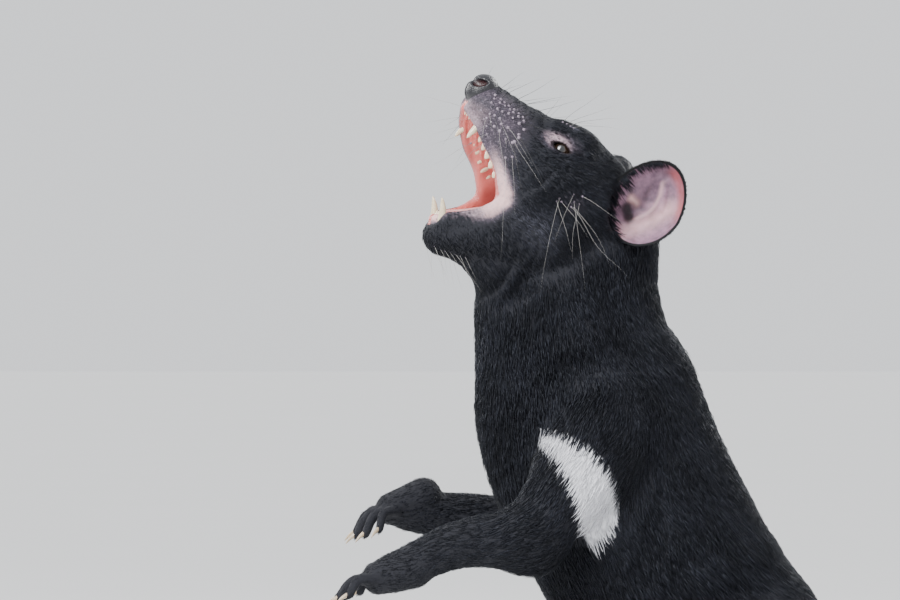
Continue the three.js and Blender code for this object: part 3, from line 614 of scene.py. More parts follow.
@dataclass
class Body:
    """The flesh of the whole animal as chains, whose radii have the coat's depth taken off."""

    waist_depth: float = 5.0
    limb_depth: float = 2.2
    face_depth: float = 1.0
    paw_depth: float = 0.7
    toe_height: float = 7.8
    palm_beyond: float = 17.0
    knuckle_along: float = 0.55
    knuckle_rise: float = 0.5
    claw_sunk: float = 4.0
    right_hang: float = 4.5
    fingers: tuple[Digit, ...] = (
        Digit(-15, -0.5, 22, 5),
        Digit(-8, -0.22, 31, 5.4),
        Digit(0, 0, 34, 5.6),
        Digit(8, 0.2, 31, 5.4),
        Digit(15, 0.48, 24, 5),
    )
    toes: tuple[Digit, ...] = (
        Digit(-13, -0.3, 23, 6.4),
        Digit(-4.5, -0.1, 28, 6.8),
        Digit(4.5, 0.1, 27, 6.8),
        Digit(13, 0.3, 22, 6.4),
    )
    upper_lip: tuple[Point, ...] = (
        (8, 5, -14), (17, 14.5, -20), (32, 20.5, -31), (48, 26, -41), (64, 30.5, -57),
    )
    lower_lip: tuple[Point, ...] = (
        (66, 30, -62), (60, 24.5, -76.5), (50, 19, -88.5), (40, 13, -96.5), (33.5, 4, -100.5),
    )

    def trunk(self) -> list[Chain]:
        """The neck, chest, belly, rump and tail."""
        spine = [
            (-56, 0, 442, 58), (-64, 0, 400, 67), (-60, 0, 358, 73), (-47, 0, 316, 83), (-30, 0, 264, 86),
            (-8, 0, 212, 89), (16, 0, 165, 91), (50, 0, 125, 86), (84, 0, 98, 71),
        ]
        throat = [
            (-117, 0, 424, 33), (-110, 0, 396, 42), (-100, 0, 350, 51), (-94, 0, 300, 56), (-68, 0, 245, 64),
            (-28, 0, 185, 66), (10, 0, 130, 66),
        ]
        shoulder = [(-42, -52, 300, 40), (-66, -62, 262, 34)]
        haunch = [(92, -40, 106, 56), (40, -58, 96, 46)]
        nape = [(-84, -33, 442, 23), (-74, -38, 412, 25), (-62, -40, 370, 27)]
        tail = [
            (118, 0, 78, 42), (160, 0, 46, 29), (200, 2, 25, 21.5), (250, 12, 15, 16.4), (310, 32, 11.6, 13),
            (365, 54, 8, 9.4), (398, 70, 3.8, 5),
        ]
        made = {"region": Region.TRUNK, "depth": self.waist_depth}
        back_comb = (0.25, 0.0, -1.0)
        return [
            Chain(spine, factor=0.88, hair=15, **made),
            Chain(throat, factor=0.95, blend=26, hair=14, **made),
            *body_pair(shoulder, blend=26, hair=13, comb=(-0.1, 0.0, -1.0), **made),
            *body_pair(nape, blend=24, hair=13, **made),
            *body_pair(haunch, factor=0.8, blend=26, hair=14, comb=back_comb, **made),
            Chain(tail, Region.TAIL, blend=18, depth=2.6, hair=13),
        ]

    def head(self) -> list[Chain]:
        """The skull, muzzle, lips, whisker pads, cheeks and brows."""
        cranium = [(104, 0, -11, 36), (126, 0, -14, 37), (150, 0, -22, 36)]
        muzzle = [(100, 0, -5, 28), (62, 0, -7, 25.5), (20, 0, 2, 15)]
        lip_bed = [(14, 8, -9, 9), (40, 14, -24, 12), (62, 23, -46, 10)]
        pad = [(24, 12, -6, 11.5), (42, 15, -11, 14)]
        cheek = [(72, 20, -22, 22), (100, 33, -28, 25), (128, 34, -28, 26)]
        brow = [(80, 20, 9, 11), (98, 24, 9, 12)]
        jowl = [(66, 25, -51, 8.5), (92, 30, -52, 22), (116, 33, -58, 26)]
        corner = [(66, 25.5, -60, 6), (74, 27, -66, 9), (86, 30, -70, 15)]
        return [
            head_chain(cranium, factor=1.22, depth=2.4, hair=10),
            head_chain(muzzle, factor=1.12, blend=14, depth=self.face_depth, hair=4.8),
            *head_pair(lip_bed, blend=8, depth=0.6, hair=3.2),
            *head_pair(pad, blend=10, depth=0.5, hair=3.2),
            *head_pair(cheek, blend=16, depth=1.8, hair=7.5),
            *head_pair(brow, blend=10, depth=1.2, hair=5),
            *head_pair(jowl, blend=12, depth=1.8, hair=8),
            *head_pair(corner, blend=6, hair=6),
        ]

    def jaw(self) -> list[Chain]:
        """The lower jaw and the flesh under the chin."""
        mandible = [(45, 6, -108, 13), (62, 19, -98, 14), (84, 29, -84, 17), (116, 32, -70, 24)]
        lip_bed = [(65, 26, -70, 6), (57, 21.5, -84, 7.5), (43, 13, -98, 9)]
        chin = [(50, 0, -112, 10), (76, 0, -104, 18), (104, 0, -98, 30)]
        back = (1.0, 0.0, -0.5)
        return [
            *head_pair(mandible, blend=8, depth=1.4, hair=5.5, comb=back),
            *head_pair(lip_bed, blend=6, depth=0.6, hair=2.5, comb=back),
            head_chain(chin, factor=1.2, blend=14, depth=1.8, hair=7, comb=back),
        ]

    def lips(self) -> list[Chain]:
        """The rolled edges of both lips."""
        made = {"blend": 3.0, "hair": 1.0}
        upper = [(s, l - 0.6, h + 0.4, 2.7) for s, l, h in self.upper_lip]
        lower = [(s, l - 0.6, h - 0.4, 3.3) for s, l, h in self.lower_lip]
        hang = self.right_hang * np.sin(np.linspace(0, math.pi, len(upper)))
        right = [(s, -l, h - drop, r + 0.3 * drop) for (s, l, h, r), drop in zip(upper, hang)]
        return [head_chain(upper, **made), head_chain(right, **made), *head_pair(lower, **made)]

    def mouth(self) -> list[Chain]:
        """The hollow of the mouth."""
        palate = [(10, 0, -27, 8), (34, 0, -38, 11.5), (58, 0, -52, 17), (84, 0, -60, 15)]
        floor = [(38, 0, -92, 8.5), (56, 0, -80, 15), (72, 0, -66, 18)]
        made = {"factor": 1.15, "blend": 5, "region": Region.MOUTH}
        return [head_chain(palate, **made), head_chain(floor, **made)]

    def digits(
        self, origin: Array, axes: Array, digits: Iterable[Digit], drop: float, region: Region
    ) -> Limb:
        """Digits fanned out from the end of a limb.

        Args:
            origin: The middle of the knuckles.
            axes: Forward, aside and up there, as rows.
            digits: The digits.
            drop: How far the tips bend down.
            region: The limb's region.

        Returns:
            The chains and the claws.
        """
        chains = []
        claws = []
        for digit in digits:
            ahead = np.array([math.cos(digit.turn), math.sin(digit.turn), 0.0])
            root = np.array([0.0, digit.side, 0.0])
            rise = [0, 0, digit.radius * self.knuckle_rise]
            knuckle = root + ahead * digit.length * self.knuckle_along + rise
            tip = root + ahead * digit.length - [0, 0, drop]
            radii = digit.radius * np.array([1.0, 0.88, 0.76])
            places = np.array([root, knuckle, tip]) @ axes + origin
            chains.append(
                Chain(np.column_stack([places, radii]), region, blend=3.2, depth=self.paw_depth, hair=4)
            )
            start = (tip - ahead * self.claw_sunk / 2 + [0, 0, 1]) @ axes + origin
            claws.append((start, ahead @ axes, -axes[2]))
        return Limb(chains, claws)

    def foreleg(self, side: int) -> Limb:
        """The left (1) or right (-1) foreleg, each in its own pose."""
        flip = np.array([1, side, 1, 1.0])
        region = ARMS[side]
        upper = np.array([(-50, -66, 286, 37), (-104, -90, 212, 27)]) * flip
        left = [(-104, -90, 212, 27), (-158, -84, 208, 20.5), (-210, -78, 187, 16.5)]
        right = [(-104, -90, 212, 27), (-152, -82, 222, 22.5), (-200, -68, 228, 17.5)]
        lower = np.array(left if side > 0 else right) * flip
        turn = math.radians(-16 if side > 0 else -24)
        reach = unit(lower[2, :3] - lower[1, :3])
        ahead = unit(np.array([reach[0], reach[1], 0.0]))
        aside = np.cross([0, 0, 1], ahead)
        up = np.array([0, 0, 1.0])
        axes = np.stack([
            ahead * math.cos(turn) + up * math.sin(turn), aside, up * math.cos(turn) - ahead * math.sin(turn),
        ])
        origin = lower[2, :3] + reach * self.palm_beyond
        palm_places = np.array([(-30, 0, -1), (-2, 0, 0)]) @ axes + origin
        palm = np.column_stack([palm_places, (15, 14)])
        paw = self.digits(origin, axes, self.fingers, 7, region)
        made = {"region": region, "depth": self.limb_depth}
        chains = [
            Chain(upper, factor=0.85, blend=15, hair=12, **made),
            Chain(lower, blend=14, hair=9, **made),
            Chain(palm, region, factor=1.25, axis=tuple(aside), blend=6, depth=self.paw_depth, hair=5),
        ]
        return Limb(chains + paw.chains, paw.claws)

    def hind_leg(self, side: int) -> Limb:
        """The left (1) or right (-1) hind leg, folded, with its foot flat on the floor."""
        flip = np.array([1, side, 1, 1.0])
        region = LEGS[side]
        thigh = np.array([(84, -58, 108, 50), (28, -74, 100, 45), (-22, -86, 90, 33)]) * flip
        shank = np.array([(-22, -86, 88, 32), (0, -82, 54, 24), (22, -78, 22, 15.5)]) * flip
        foot = np.array([(24, -78, 12.2, 14.5), (-10, -82, 14, 14), (-46, -87, 11.6, 14)]) * flip
        ahead = foot[2, :3] - foot[0, :3]
        ahead = unit(ahead * [1, 1, 0])
        axes = np.stack([ahead, np.cross([0, 0, 1], ahead), [0, 0, 1.0]])
        ball = np.array([foot[2, 0], foot[2, 1], self.toe_height])
        paw = self.digits(ball, axes, self.toes, 3, region)
        made = {"region": region, "depth": self.limb_depth}
        chains = [
            Chain(thigh, factor=0.85, blend=18, hair=14, comb=(-0.5, 0.0, -1.0), **made),
            Chain(shank, blend=10, hair=9, **made),
            Chain(foot, region, factor=1.15, blend=8, depth=self.paw_depth, hair=6),
        ]
        return Limb(chains + paw.chains, paw.claws)


@dataclass
class Chart:
    """Where one region's skin lies on the unwrap: along a line and round it, in a box of its own."""

    spine: Array
    up: Array
    radius: float
    corner: tuple[float, float]
    span: float = 960.0

    def read(self, points: Array, start: Array | None = None) -> tuple[Array, Array]:
        """Places on the unwrap.

        Args:
            points: Points in the body's frame.
            start: Angles to stay within half a turn of, if any.

        Returns:
            The places, from 0 to 1 each way, and the angles round the line.
        """
        best = np.full(len(points), np.inf)
        along = np.zeros(len(points))
        angle = np.zeros(len(points))
        walked = 0.0
        for a, b in zip(self.spine[:-1], self.spine[1:]):
            share, off = to_segment(points, a, b)
            far = dots(off, off)
            length = np.linalg.norm(b - a)
            ahead = (b - a) / length
            up = unit(self.up - ahead * (self.up @ ahead))
            side = np.cross(ahead, up)
            closer = far < best
            best[closer] = far[closer]
            along[closer] = walked + share[closer] * length
            angle[closer] = np.arctan2(off[closer] @ side, off[closer] @ up)
            walked += length
        if start is not None:
            angle = start + (angle - start + np.pi) % (2 * np.pi) - np.pi
        places = np.stack([(angle + np.pi) * self.radius, along], 1) / self.span + self.corner
        return places, angle


@dataclass
class Unwrap:
    """The unwrap of the whole skin, a chart for each region."""

    charts: dict[Region, Chart]

    @classmethod
    def of(cls, body: Body) -> Unwrap:
        """Charts along the animal's own chains, side by side in the unit square."""
        trunk = body.trunk()
        spine = trunk[0].samples[::5]
        tail = trunk[-1].samples[::5]
        head_line = HEAD.out([(-6, 0, -30), (60, 0, -40), (175, 0, -45)])
        mouth_line = HEAD.out([(0, 0, -20), (50, 0, -50), (100, 0, -60)])
        x, z = np.array([1.0, 0, 0]), np.array([0, 0, 1.0])
        made = {
            Region.TRUNK: Chart(spine, x, 80, (0.01, 0.01)),
            Region.HEAD: Chart(head_line, HEAD.axes[2], 50, (0.56, 0.01)),
            Region.MOUTH: Chart(mouth_line, HEAD.axes[2], 17, (0.01, 0.50)),
            Region.TAIL: Chart(tail, z, 17, (0.15, 0.50)),
        }
        corners = {
            Region.ARM_LEFT: (0.28, 0.50), Region.ARM_RIGHT: (0.45, 0.50),
            Region.LEG_LEFT: (0.62, 0.50), Region.LEG_RIGHT: (0.81, 0.50),
        }
        for side in SIDES:
            arm, leg = body.foreleg(side).chains, body.hind_leg(side).chains
            arm_line = np.concatenate([arm[0].samples[:1], arm[1].samples[::5], arm[5].samples[-1:]])
            leg_line = np.concatenate([leg[0].samples[::5], leg[1].samples[5::5], leg[2].samples[5::5]])
            made[ARMS[side]] = Chart(arm_line, z, 22, corners[ARMS[side]])
            made[LEGS[side]] = Chart(leg_line, z, 26, corners[LEGS[side]])
        return cls(made)


@dataclass
class Reading:
    """What the body's chains say at points: the region, the lie of the coat and its length."""

    region: Array
    lie: Array
    hair: Array


def read_chains(chains: list[Chain], points: Array, soft: float = 7.0) -> Reading:
    """Reads the region, lie and length of the coat from the chains near points.

    Args:
        chains: The body's chains.
        points: Points on the skin.
        soft: How softly one chain gives way to the next.

    Returns:
        The reading.
    """
    closest = np.full(len(points), FAR)
    region = np.zeros(len(points), int)
    lie = np.zeros_like(points)
    hair = np.zeros(len(points))
    total = np.full(len(points), 1e-12)
    for chain in chains:
        away, near, segment = chain.nearest(points)
        if not len(near):
            continue
        weight = np.exp(-(away[near] + 10) / soft)
        if chain.comb is None:
            ahead = unit(np.diff(chain.samples, axis=0))[segment]
        elif chain.region is Region.HEAD:
            ahead = np.broadcast_to(unit(HEAD.way(chain.comb)), (len(near), 3))
        else:
            ahead = np.broadcast_to(unit(np.array(chain.comb)), (len(near), 3))
        lie[near] += ahead * weight[:, None]
        hair[near] += chain.hair * weight
        total[near] += weight
        closer = away[near] < closest[near]
        closest[near[closer]] = away[near[closer]]
        region[near[closer]] = chain.region.value
    return Reading(region, unit(lie), hair / total)


@dataclass(frozen=True)
class Markings:
    """Where the coat is white and where the skin shows, in the body's own frame."""

    patch: tuple[Section, ...] = (
        (-95, -60, 297, 1.5), (-86, -72, 291, 6), (-71, -88, 279, 11), (-58, -94, 262, 15),
        (-51, -96, 242, 15.5), (-52, -98, 225, 11), (-56, -98, 211, 4),
    )
    right_patch: tuple[Section, ...] = ((-60, 90, 262, 4), (-52, 94, 246, 7), (-50, 96, 234, 4))

    def white(self, points: Array) -> Array:
        """How white the coat is, from 0 to 1."""
        total = np.zeros(len(points))
        for sections, side in ((self.patch, -1), (self.right_patch, 1)):
            line = smooth_line(np.array(sections, float), 4)
            away = np.full(len(points), FAR)
            for a, b in zip(line[:-1], line[1:]):
                share, off = to_segment(points[:, ::2], a[:3:2], b[:3:2])
                radius = a[3] + share * (b[3] - a[3])
                away = np.minimum(away, lengths(off) - radius)
            total = np.maximum(total, smooth_step(1.5, -1.5, away) * (points[:, 1] * side > 30))
        return total

    def bare(self, points: Array, lips: list[Chain]) -> Array:
        """How far the skin shows through the hair, from 0 to 1."""
        local = HEAD.into(points)
        s, h = local[:, 0], local[:, 2]
        l = np.abs(local[:, 1])
        snout = smooth_step(64, 34, s + 0.5 * np.maximum(h, 0)) * smooth_step(16, 4, h) * (h > -62)
        eye = np.stack([(s - 80.5) / 19, (l - 31) / 14, (h + 0.5 - 0.12 * (s - 80)) / 10.5], 1)
        lids = smooth_step(1.25, 0.4, lengths(eye))
        corner = smooth_step(45, 66, s)
        uneven = ripple(points, 7)
        rim = smooth_step(1, 0, (nearest_of(lips, points) - 1.0 + 1.2 * uneven) / (2.5 + 8 * corner)) * 0.9
        genal = smooth_step(16, 3, lengths(np.stack([s - 109, l - 47, h + 35], 1))) * 0.6
        return np.clip(np.maximum.reduce([snout * (0.62 + 0.2 * uneven), lids * 0.9, rim, genal]), 0, 1)

    def inner(self, points: Array, lips: list[Chain]) -> Array:
        """How far points lie on the side of the lips that faces the mouth, from 0 to 1."""
        local = HEAD.into(points)
        near = np.flatnonzero(nearest_of(lips, points) < 3.5 + 4 * smooth_step(48, 62, local[:, 0]))
        line = HEAD.into(np.concatenate([chain.samples for chain in lips]))
        local = local[near]
        closest = line[np.linalg.norm(local[:, None] - line, axis=2).argmin(1)]
        result = np.zeros(len(points))
        result[near] = smooth_step(0.2, -1.6, np.abs(local[:, 1]) - np.abs(closest[:, 1]))
        return result

    def lip(self, points: Array, lips: list[Chain]) -> Array:
        """How much of the lips' pale pink shows, from 0 to 1."""
        s, _, h = HEAD.into(points).T
        pale = np.maximum(smooth_step(34, 60, s), smooth_step(-70, -85, h))
        away = nearest_of(lips, points) - 0.3 + 0.7 * ripple(points, 5)
        return smooth_step(1, 0, away / (1.5 + 4.5 * smooth_step(48, 66, s))) * pale * 0.9


@dataclass(frozen=True)
class Crease:
    """A groove pressed into the skin along a line, or a ridge where its depth is negative."""

    line: tuple[Point, ...]
    depth: float
    width: float
    on_head: bool = True

    def laid(self, flesh: Flesh) -> Callable[[Array, Array], Array]:
        """Lays the line on the surface of a field.

        Args:
            flesh: The field without its creases.

        Returns:
            A function that presses the crease into values of the field.
        """
        places = HEAD.out(self.line) if self.on_head else np.array(self.line, float)
        line = flesh.settled(smooth_line(places, 4), passes=6, most=8)
        low = line.min(0) - 3 * self.width
        high = line.max(0) + 3 * self.width

        def press(points: Array, inside: Array) -> Array:
            """Adds the crease to values of the field at points."""
            near = np.flatnonzero(np.all((points > low) & (points < high), axis=1))
            if not len(near):
                return inside
            spots = points[near]
            best = np.full(len(near), FAR)
            share = np.zeros(len(near))
            for i, (a, b) in enumerate(zip(line[:-1], line[1:])):
                along, off = to_segment(spots, a, b)
                away = lengths(off)
                closer = away < best
                best[closer] = away[closer]
                share[closer] = (i + along[closer]) / (len(line) - 1)
            inside = inside.copy()
            fade = np.sqrt(np.clip(4 * share * (1 - share), 0, 1))
            inside[near] += self.depth * fade * np.exp(-((best / self.width) ** 2))
            return inside

        return press


@dataclass(frozen=True)
class Ear(Feature):
    """One ear: a deep oval bowl that faces forward and outward, with folds inside."""

    at: Point = (161.0, 54.0, -3.0)
    wide: float = 30.0
    high: float = 37.0
    deep: float = 21.0
    wall: float = 2.6
    canal_depth: float = 4.5
    narrowing: float = 0.12
    facing: Point = (-0.38, 0.92, -0.1)
    rim_roll: float = 0.35
    rings: int = 44
    sides: int = 120
    crowding: float = 0.85

    def frame(self, side: int) -> tuple[Array, Array]:
        """The ear's middle and its axes: across, outward and towards its top."""
        s, l, h = self.at
        outward = unit(HEAD.way((self.facing[0], side * self.facing[1], self.facing[2])))
        across = unit(np.cross(outward, HEAD.way((0.1, 0, 1))))
        return HEAD.out((s, side * l, h)), np.stack([across, outward, unit(np.cross(across, outward))])

    def room(self, points: Array, side: int) -> Array:
        """How far points are from the bowl and the room before it, negative inside."""
        x, y, z = self.local(points, side).T
        up = np.maximum(0, z / self.high)
        wide = self.wide * (1 - self.narrowing * up)
        q = np.stack([x / wide, np.minimum(y, 0) / self.deep, z / self.high], 1)
        away = (lengths(q) / (1 - 0.5 * self.wall / self.wide) - 1) * self.deep
        return away - (self.canal_depth + 0.8) * self.canal(x * side / self.wide, z / self.high)

    def carve(self, points: Array, inside: Array) -> Array:
        """Keeps the head's skin out of the bowls and of the room before them."""
        inside = inside.copy()
        for side in SIDES:
            near = lengths(points - self.frame(side)[0]) < 70
            inside[near] = -smooth_min(-inside[near], self.room(points[near], side), 1.0)
        return inside

    def spot(self, side: int, share: Array, turn: Array, inner: bool) -> Array:
        """Points of the bowl.

        Args:
            side: 1 for the left ear and -1 for the right.
            share: How far each point lies from the bottom towards the rim, from 0 to 1.
            turn: Its angle round the bowl.
            inner: Whether it is on the face that looks forward.

        Returns:
            The points.
        """
        centre, axes = self.frame(side)
        polar = share * np.pi / 2
        x = np.sin(polar) * np.cos(turn)
        z = np.sin(polar) * np.sin(turn)
        scale = 1 - self.wall / self.wide if inner else 1.0
        depth = -np.cos(polar) * self.deep
        if inner:
            depth = depth * scale + self.folds(x * side, z)
            scale = scale + (1 - scale) * self.rim_roll * smooth_step(0.9, 1.0, share)
        else:
            depth = depth - (self.canal_depth - 0.5) * self.canal(x * side, z)
        across = x * self.wide * (1 - self.narrowing * np.maximum(0, z)) * scale
        places = np.stack([across, depth, z * self.high * scale], -1)
        return places @ axes + centre

    def near_line(self, x: Array, z: Array, start: tuple, end: tuple, width: float) -> Array:
        """How near places are to a line across the bowl, from 0 to 1."""
        _, off = to_segment(np.stack([x, z], 1), np.array(start), np.array(end))
        return np.exp(-dots(off, off) / width**2)

    def fold(self, x: Array, z: Array, width: float) -> Array:
        """How near places are to the long curved fold behind the canal."""
        line = ((0.02, 0.6), (-0.14, 0.34), (-0.2, 0.06), (-0.14, -0.2), (0.02, -0.42), (0.2, -0.6))
        return np.maximum.reduce([self.near_line(x, z, a, b, width) for a, b in zip(line[:-1], line[1:])])

    def canal(self, x: Array, z: Array) -> Array:
        """How near places are to the mouth of the ear canal."""
        return self.near_line(x, z, (0.22, -0.52), (0.46, -0.36), 0.21)

    def hollow(self, x: Array, z: Array) -> Array:
        """How near places are to the shaded hollow above the canal."""
        return self.near_line(x, z, (0.2, 0.2), (0.3, -0.3), 0.2)

    def tragus(self, x: Array, z: Array) -> Array:
        """How near places are to the small pale flap before the canal."""
        return self.near_line(x, z, (0.3, -0.13), (0.5, -0.12), 0.1)

    def folds(self, x: Array, z: Array) -> Array:
        """How far the skin inside the bowl stands out at places across and up it."""
        groove = self.near_line(x, z, (0.3, 0.45), (0.05, -0.15), 0.12)
        outer = self.near_line(x, z, (-0.5, 0.5), (-0.52, -0.35), 0.12)
        small = self.near_line(x, z, (-0.1, 0.7), (-0.42, 0.1), 0.08)
        return (
            3.2 * self.fold(x, z, 0.13) - 1.2 * groove - 1.2 * outer + 1.3 * small
            + 3.0 * self.tragus(x, z) - self.canal_depth * self.canal(x, z)
        )

    def mesh(self, side: int) -> Piece:
        """The bowl as one closed tube, with what its finish needs at each point."""
        share = np.linspace(0, 1, self.rings + 1)[1:] ** self.crowding
        share = np.append(np.repeat([*share, *share[::-1]], self.sides), [0, 0])
        turn = np.arange(len(share)) % self.sides * 2 * np.pi / self.sides
        back = np.arange(len(share)) >= self.rings * self.sides
        back[-1] = False
        inner, outer = (self.spot(side, share, turn, inner) for inner in (True, False))
        points = np.where(back[:, None], outer, inner)
        centre, axes = self.frame(side)
        points[-2:] = centre - np.outer([1, 0.9], axes[1]) * self.deep
        x = np.sin(share * np.pi / 2) * np.cos(turn) * side
        z = np.sin(share * np.pi / 2) * np.sin(turn)
        # Painted shade: the canal and the hollow above it are darkened in colour, standing in for the shadow
        # in these recesses.
        painted_canal_shade = np.maximum(0.95 * smooth_step(0.35, 0.95, self.canal(x, z)), 0.5 * self.hollow(x, z))
        # A red flush near the top of the bowl: partly the ear's own colour and partly painted glow of light
        # shining through the ear from behind.
        flush_and_glow = 0.75 * smooth_step(0.5, 0.8, share) * self.near_line(x, z, (-0.2, 0.9), (-0.85, 0.35), 0.28)
        lobe = self.near_line(x, z, (-0.6, 0.2), (0.1, -0.9), 0.25)
        # Pale on the tragus and the lobe is their own colour; the pale line along the fold is a painted
        # highlight on its ridge.
        pale = np.maximum.reduce([self.tragus(x, z), 0.45 * lobe, 0.35 * self.fold(x, z, 0.07)])
        edge = np.maximum(back, smooth_step(0.95, 0.99, share))
        marks = np.stack([painted_canal_shade * ~back, flush_and_glow * ~back, pale * ~back, edge], 1)
        faces = tube_faces(2 * self.rings, self.sides)
        # The faces of the back look inward, which keeps the rim's shading dark.
        behind = faces.min(1) >= self.rings * self.sides
        faces[behind] = faces[behind, ::-1]
        return Piece(f"ear_skin_{SIDES[side]}", points, faces, {"ear_marks": marks})


def tube_faces(rings: int, sides: int) -> Array:
    """Triangles that close a tube of points.

    Args:
        rings: Rings of points, which come first and in order.
        sides: Points in each ring.

    Returns:
        The triangles. They also join the last ring to a tip and the first ring to a base, which are
        the last two points.
    """
    k = np.arange(sides)
    n = (k + 1) % sides
    step = sides * np.arange(rings - 1)[:, None]
    a, b = (step + k).ravel(), (step + n).ravel()
    last, tip = (rings - 1) * sides, np.full(sides, rings * sides)
    joined = (a, b, b + sides), (a, b + sides, a + sides), (last + k, last + n, tip), (n, k, tip + 1)
    return np.concatenate([np.stack(corners, 1) for corners in joined])


def strand(
    root: Array, ahead: Array, bend: Array, length: float, radius: float, curl: float, rings: int, sides: int,
    taper: float = 0.75, wave: float = 0.0,
) -> tuple[Array, Array]:
    """A closed, curved cone, such as a tooth, a claw or a whisker.

    Args:
        root: Where it starts.
        ahead: The way it starts off.
        bend: The way it curls.
        length: Its length.
        radius: Its radius at the root.
        curl: How far it turns, in radians.
        rings: Rings along it.
        sides: Sides round it.
        taper: The power by which it narrows; less keeps it thick for longer.
        wave: How far it turns to and fro on its way, in radians.

    Returns:
        Its points and triangles.
    """
    ahead = unit(ahead)
    bend = unit(bend - ahead * (bend @ ahead))
    aside = np.cross(ahead, bend)
    turns = 2 * math.pi * np.arange(sides)[:, None] / sides
    points = []
    place = root.astype(float)
    for ring in range(rings):
        t = ring / rings
        angle = curl * t + wave * math.sin(2 * math.pi * t)
        way = ahead * math.cos(angle) + bend * math.sin(angle)
        lift = bend * math.cos(angle) - ahead * math.sin(angle)
        width = radius * (1 - t) ** taper
        points.append(place + width * (np.cos(turns) * lift + np.sin(turns) * aside))
        place = place + way * length / rings
    return np.concatenate([*points, [place, root]]), tube_faces(rings, sides)


@dataclass
class Heap:
    """Many small closed shapes gathered into one mesh."""

    points: list[Array] = field(default_factory=list)
    faces: list[Array] = field(default_factory=list)
    tones: list[Array] = field(default_factory=list)
    count: int = 0

    def add(self, shape: tuple[Array, Array], tone: float = 0.0) -> None:
        """Adds a shape, with a number that its finish can use."""
        points, faces = shape
        self.points.append(points)
        self.faces.append(faces + self.count)
        self.tones.append(np.full(len(points), tone))
        self.count += len(points)

    def piece(self, name: str) -> Piece:
        """All the shapes as one piece."""
        points, faces, tones = (np.concatenate(parts) for parts in (self.points, self.faces, self.tones))
        return Piece(name, points, faces, {"tone": tones})


def dome(centre: Array, normal: Array, radius: float, height: float) -> tuple[Array, Array]:
    """A small closed bump that stands on the skin, for the root of a whisker."""
    aside = unit(np.cross(normal, [0.3, 0.5, 0.8]))
    across = np.cross(normal, aside)
    levels = ((1.0, -0.4), (0.85, 0.35), (0.5, 0.8))
    sides = 8
    turns = 2 * math.pi * np.arange(sides)[:, None] / sides
    ring = radius * (np.cos(turns) * aside + np.sin(turns) * across)
    points = [centre + ring * width + normal * height * rise for width, rise in levels]
    ends = [centre + normal * height, centre - normal * height * 0.4]
    return np.concatenate([*points, ends]), tube_faces(len(levels), sides)


class Graph:
    """A material's nodes, with short ways to add and join them."""

    def __init__(self, name: str, sockets: dict[str, object]) -> None:
        """Starts a material.

        Args:
            name: The material's name.
            sockets: Values for the shader's own sockets.
        """
        self.material = bpy.data.materials.new(name)
        self.material.use_nodes = True
        self.tree = self.material.node_tree
        self.shader = self.tree.nodes["Principled BSDF"]
        for socket, value in sockets.items():
            self.shader.inputs[socket].default_value = value

    def add(self, kind: str, output: int | str = 0, **inputs: object) -> Socket:
        """Adds a node.

        Args:
            kind: The node's type, without the words that every type starts with.
            output: The output that is wanted.
            inputs: What its sockets are joined to or hold, with underscores for the spaces in their names.

        Returns:
            The output.
        """
        node = self.tree.nodes.new(f"ShaderNode{kind}")
        for name, value in inputs.items():
            self.feed(value, node.inputs[name.replace("_", " ")])
        return node.outputs[output]

    def attribute(self, name: str) -> Socket:
        """A value that the mesh carries."""
        node = self.tree.nodes.new("ShaderNodeAttribute")
        node.attribute_name = name
        return node.outputs["Fac"]

    def channels(self, name: str) -> list[Socket]:
        """The four values that a colour attribute carries."""
        carried = self.attribute(name).node.outputs
        parts = self.add("SeparateColor", Color=carried["Color"]).node.outputs
        return [*parts[:3], carried["Alpha"]]

    def noise(self, scale: float, detail: float = 3.0, stretch: Point = (1, 1, 1)) -> Socket:
        """Soft noise in the body's own space."""
        place = self.add("Mapping", Vector=self.add("TexCoord", "Object"), Scale=stretch)
        return self.add("TexNoise", "Fac", Vector=place, Scale=scale, Detail=detail)

    def cells(self, scale: float) -> Socket:
        """Distances to the middles of small cells, for a pebbled surface."""
        return self.add("TexVoronoi", "Distance", Vector=self.add("TexCoord", "Object"), Scale=scale)

    def spread(self, value: Socket, low: float, high: float, to: tuple[float, float] = (0, 1)) -> Socket:
        """A value's range stretched to another range."""
        return self.add("MapRange", Value=value, From_Min=low, From_Max=high, To_Min=to[0], To_Max=to[1])

    def times(self, a: Socket, b: Socket | float) -> Socket:
        """The product of two values."""
        node = self.tree.nodes.new("ShaderNodeMath")
        node.operation = "MULTIPLY"
        self.feed(a, node.inputs[0])
        self.feed(b, node.inputs[1])
        return node.outputs[0]

    def mix(self, share: object, a: object, b: object) -> Socket:
        """A colour between two others."""
        node = self.tree.nodes.new("ShaderNodeMix")
        node.data_type = "RGBA"
        for value, name in ((share, "Factor_Float"), (a, "A_Color"), (b, "B_Color")):
            socket = next(s for s in node.inputs if s.identifier == name)
            self.feed(value, socket)
        return next(s for s in node.outputs if s.identifier == "Result_Color")

    def feed(self, value: object, socket: Socket) -> None:
        """Joins a socket to a value, or sets a constant on it."""
        if isinstance(value, Socket):
            self.tree.links.new(value, socket)
        elif isinstance(value, tuple):
            socket.default_value = (*value, 1.0)[: len(socket.default_value)]
        else:
            socket.default_value = value

    def color(self, value: Socket) -> None:
        """Gives the shader its base colour."""
        self.tree.links.new(value, self.shader.inputs["Base Color"])

    def rough(self, value: Socket) -> None:
        """Gives the shader its roughness."""
        self.tree.links.new(value, self.shader.inputs["Roughness"])

    def bump(self, height: Socket, distance: float, strength: float = 1.0) -> None:
        """Gives the shader a bump of a height in metres."""
        bump = self.add("Bump", Height=height, Distance=distance, Strength=strength)
        self.tree.links.new(bump, self.shader.inputs["Normal"])


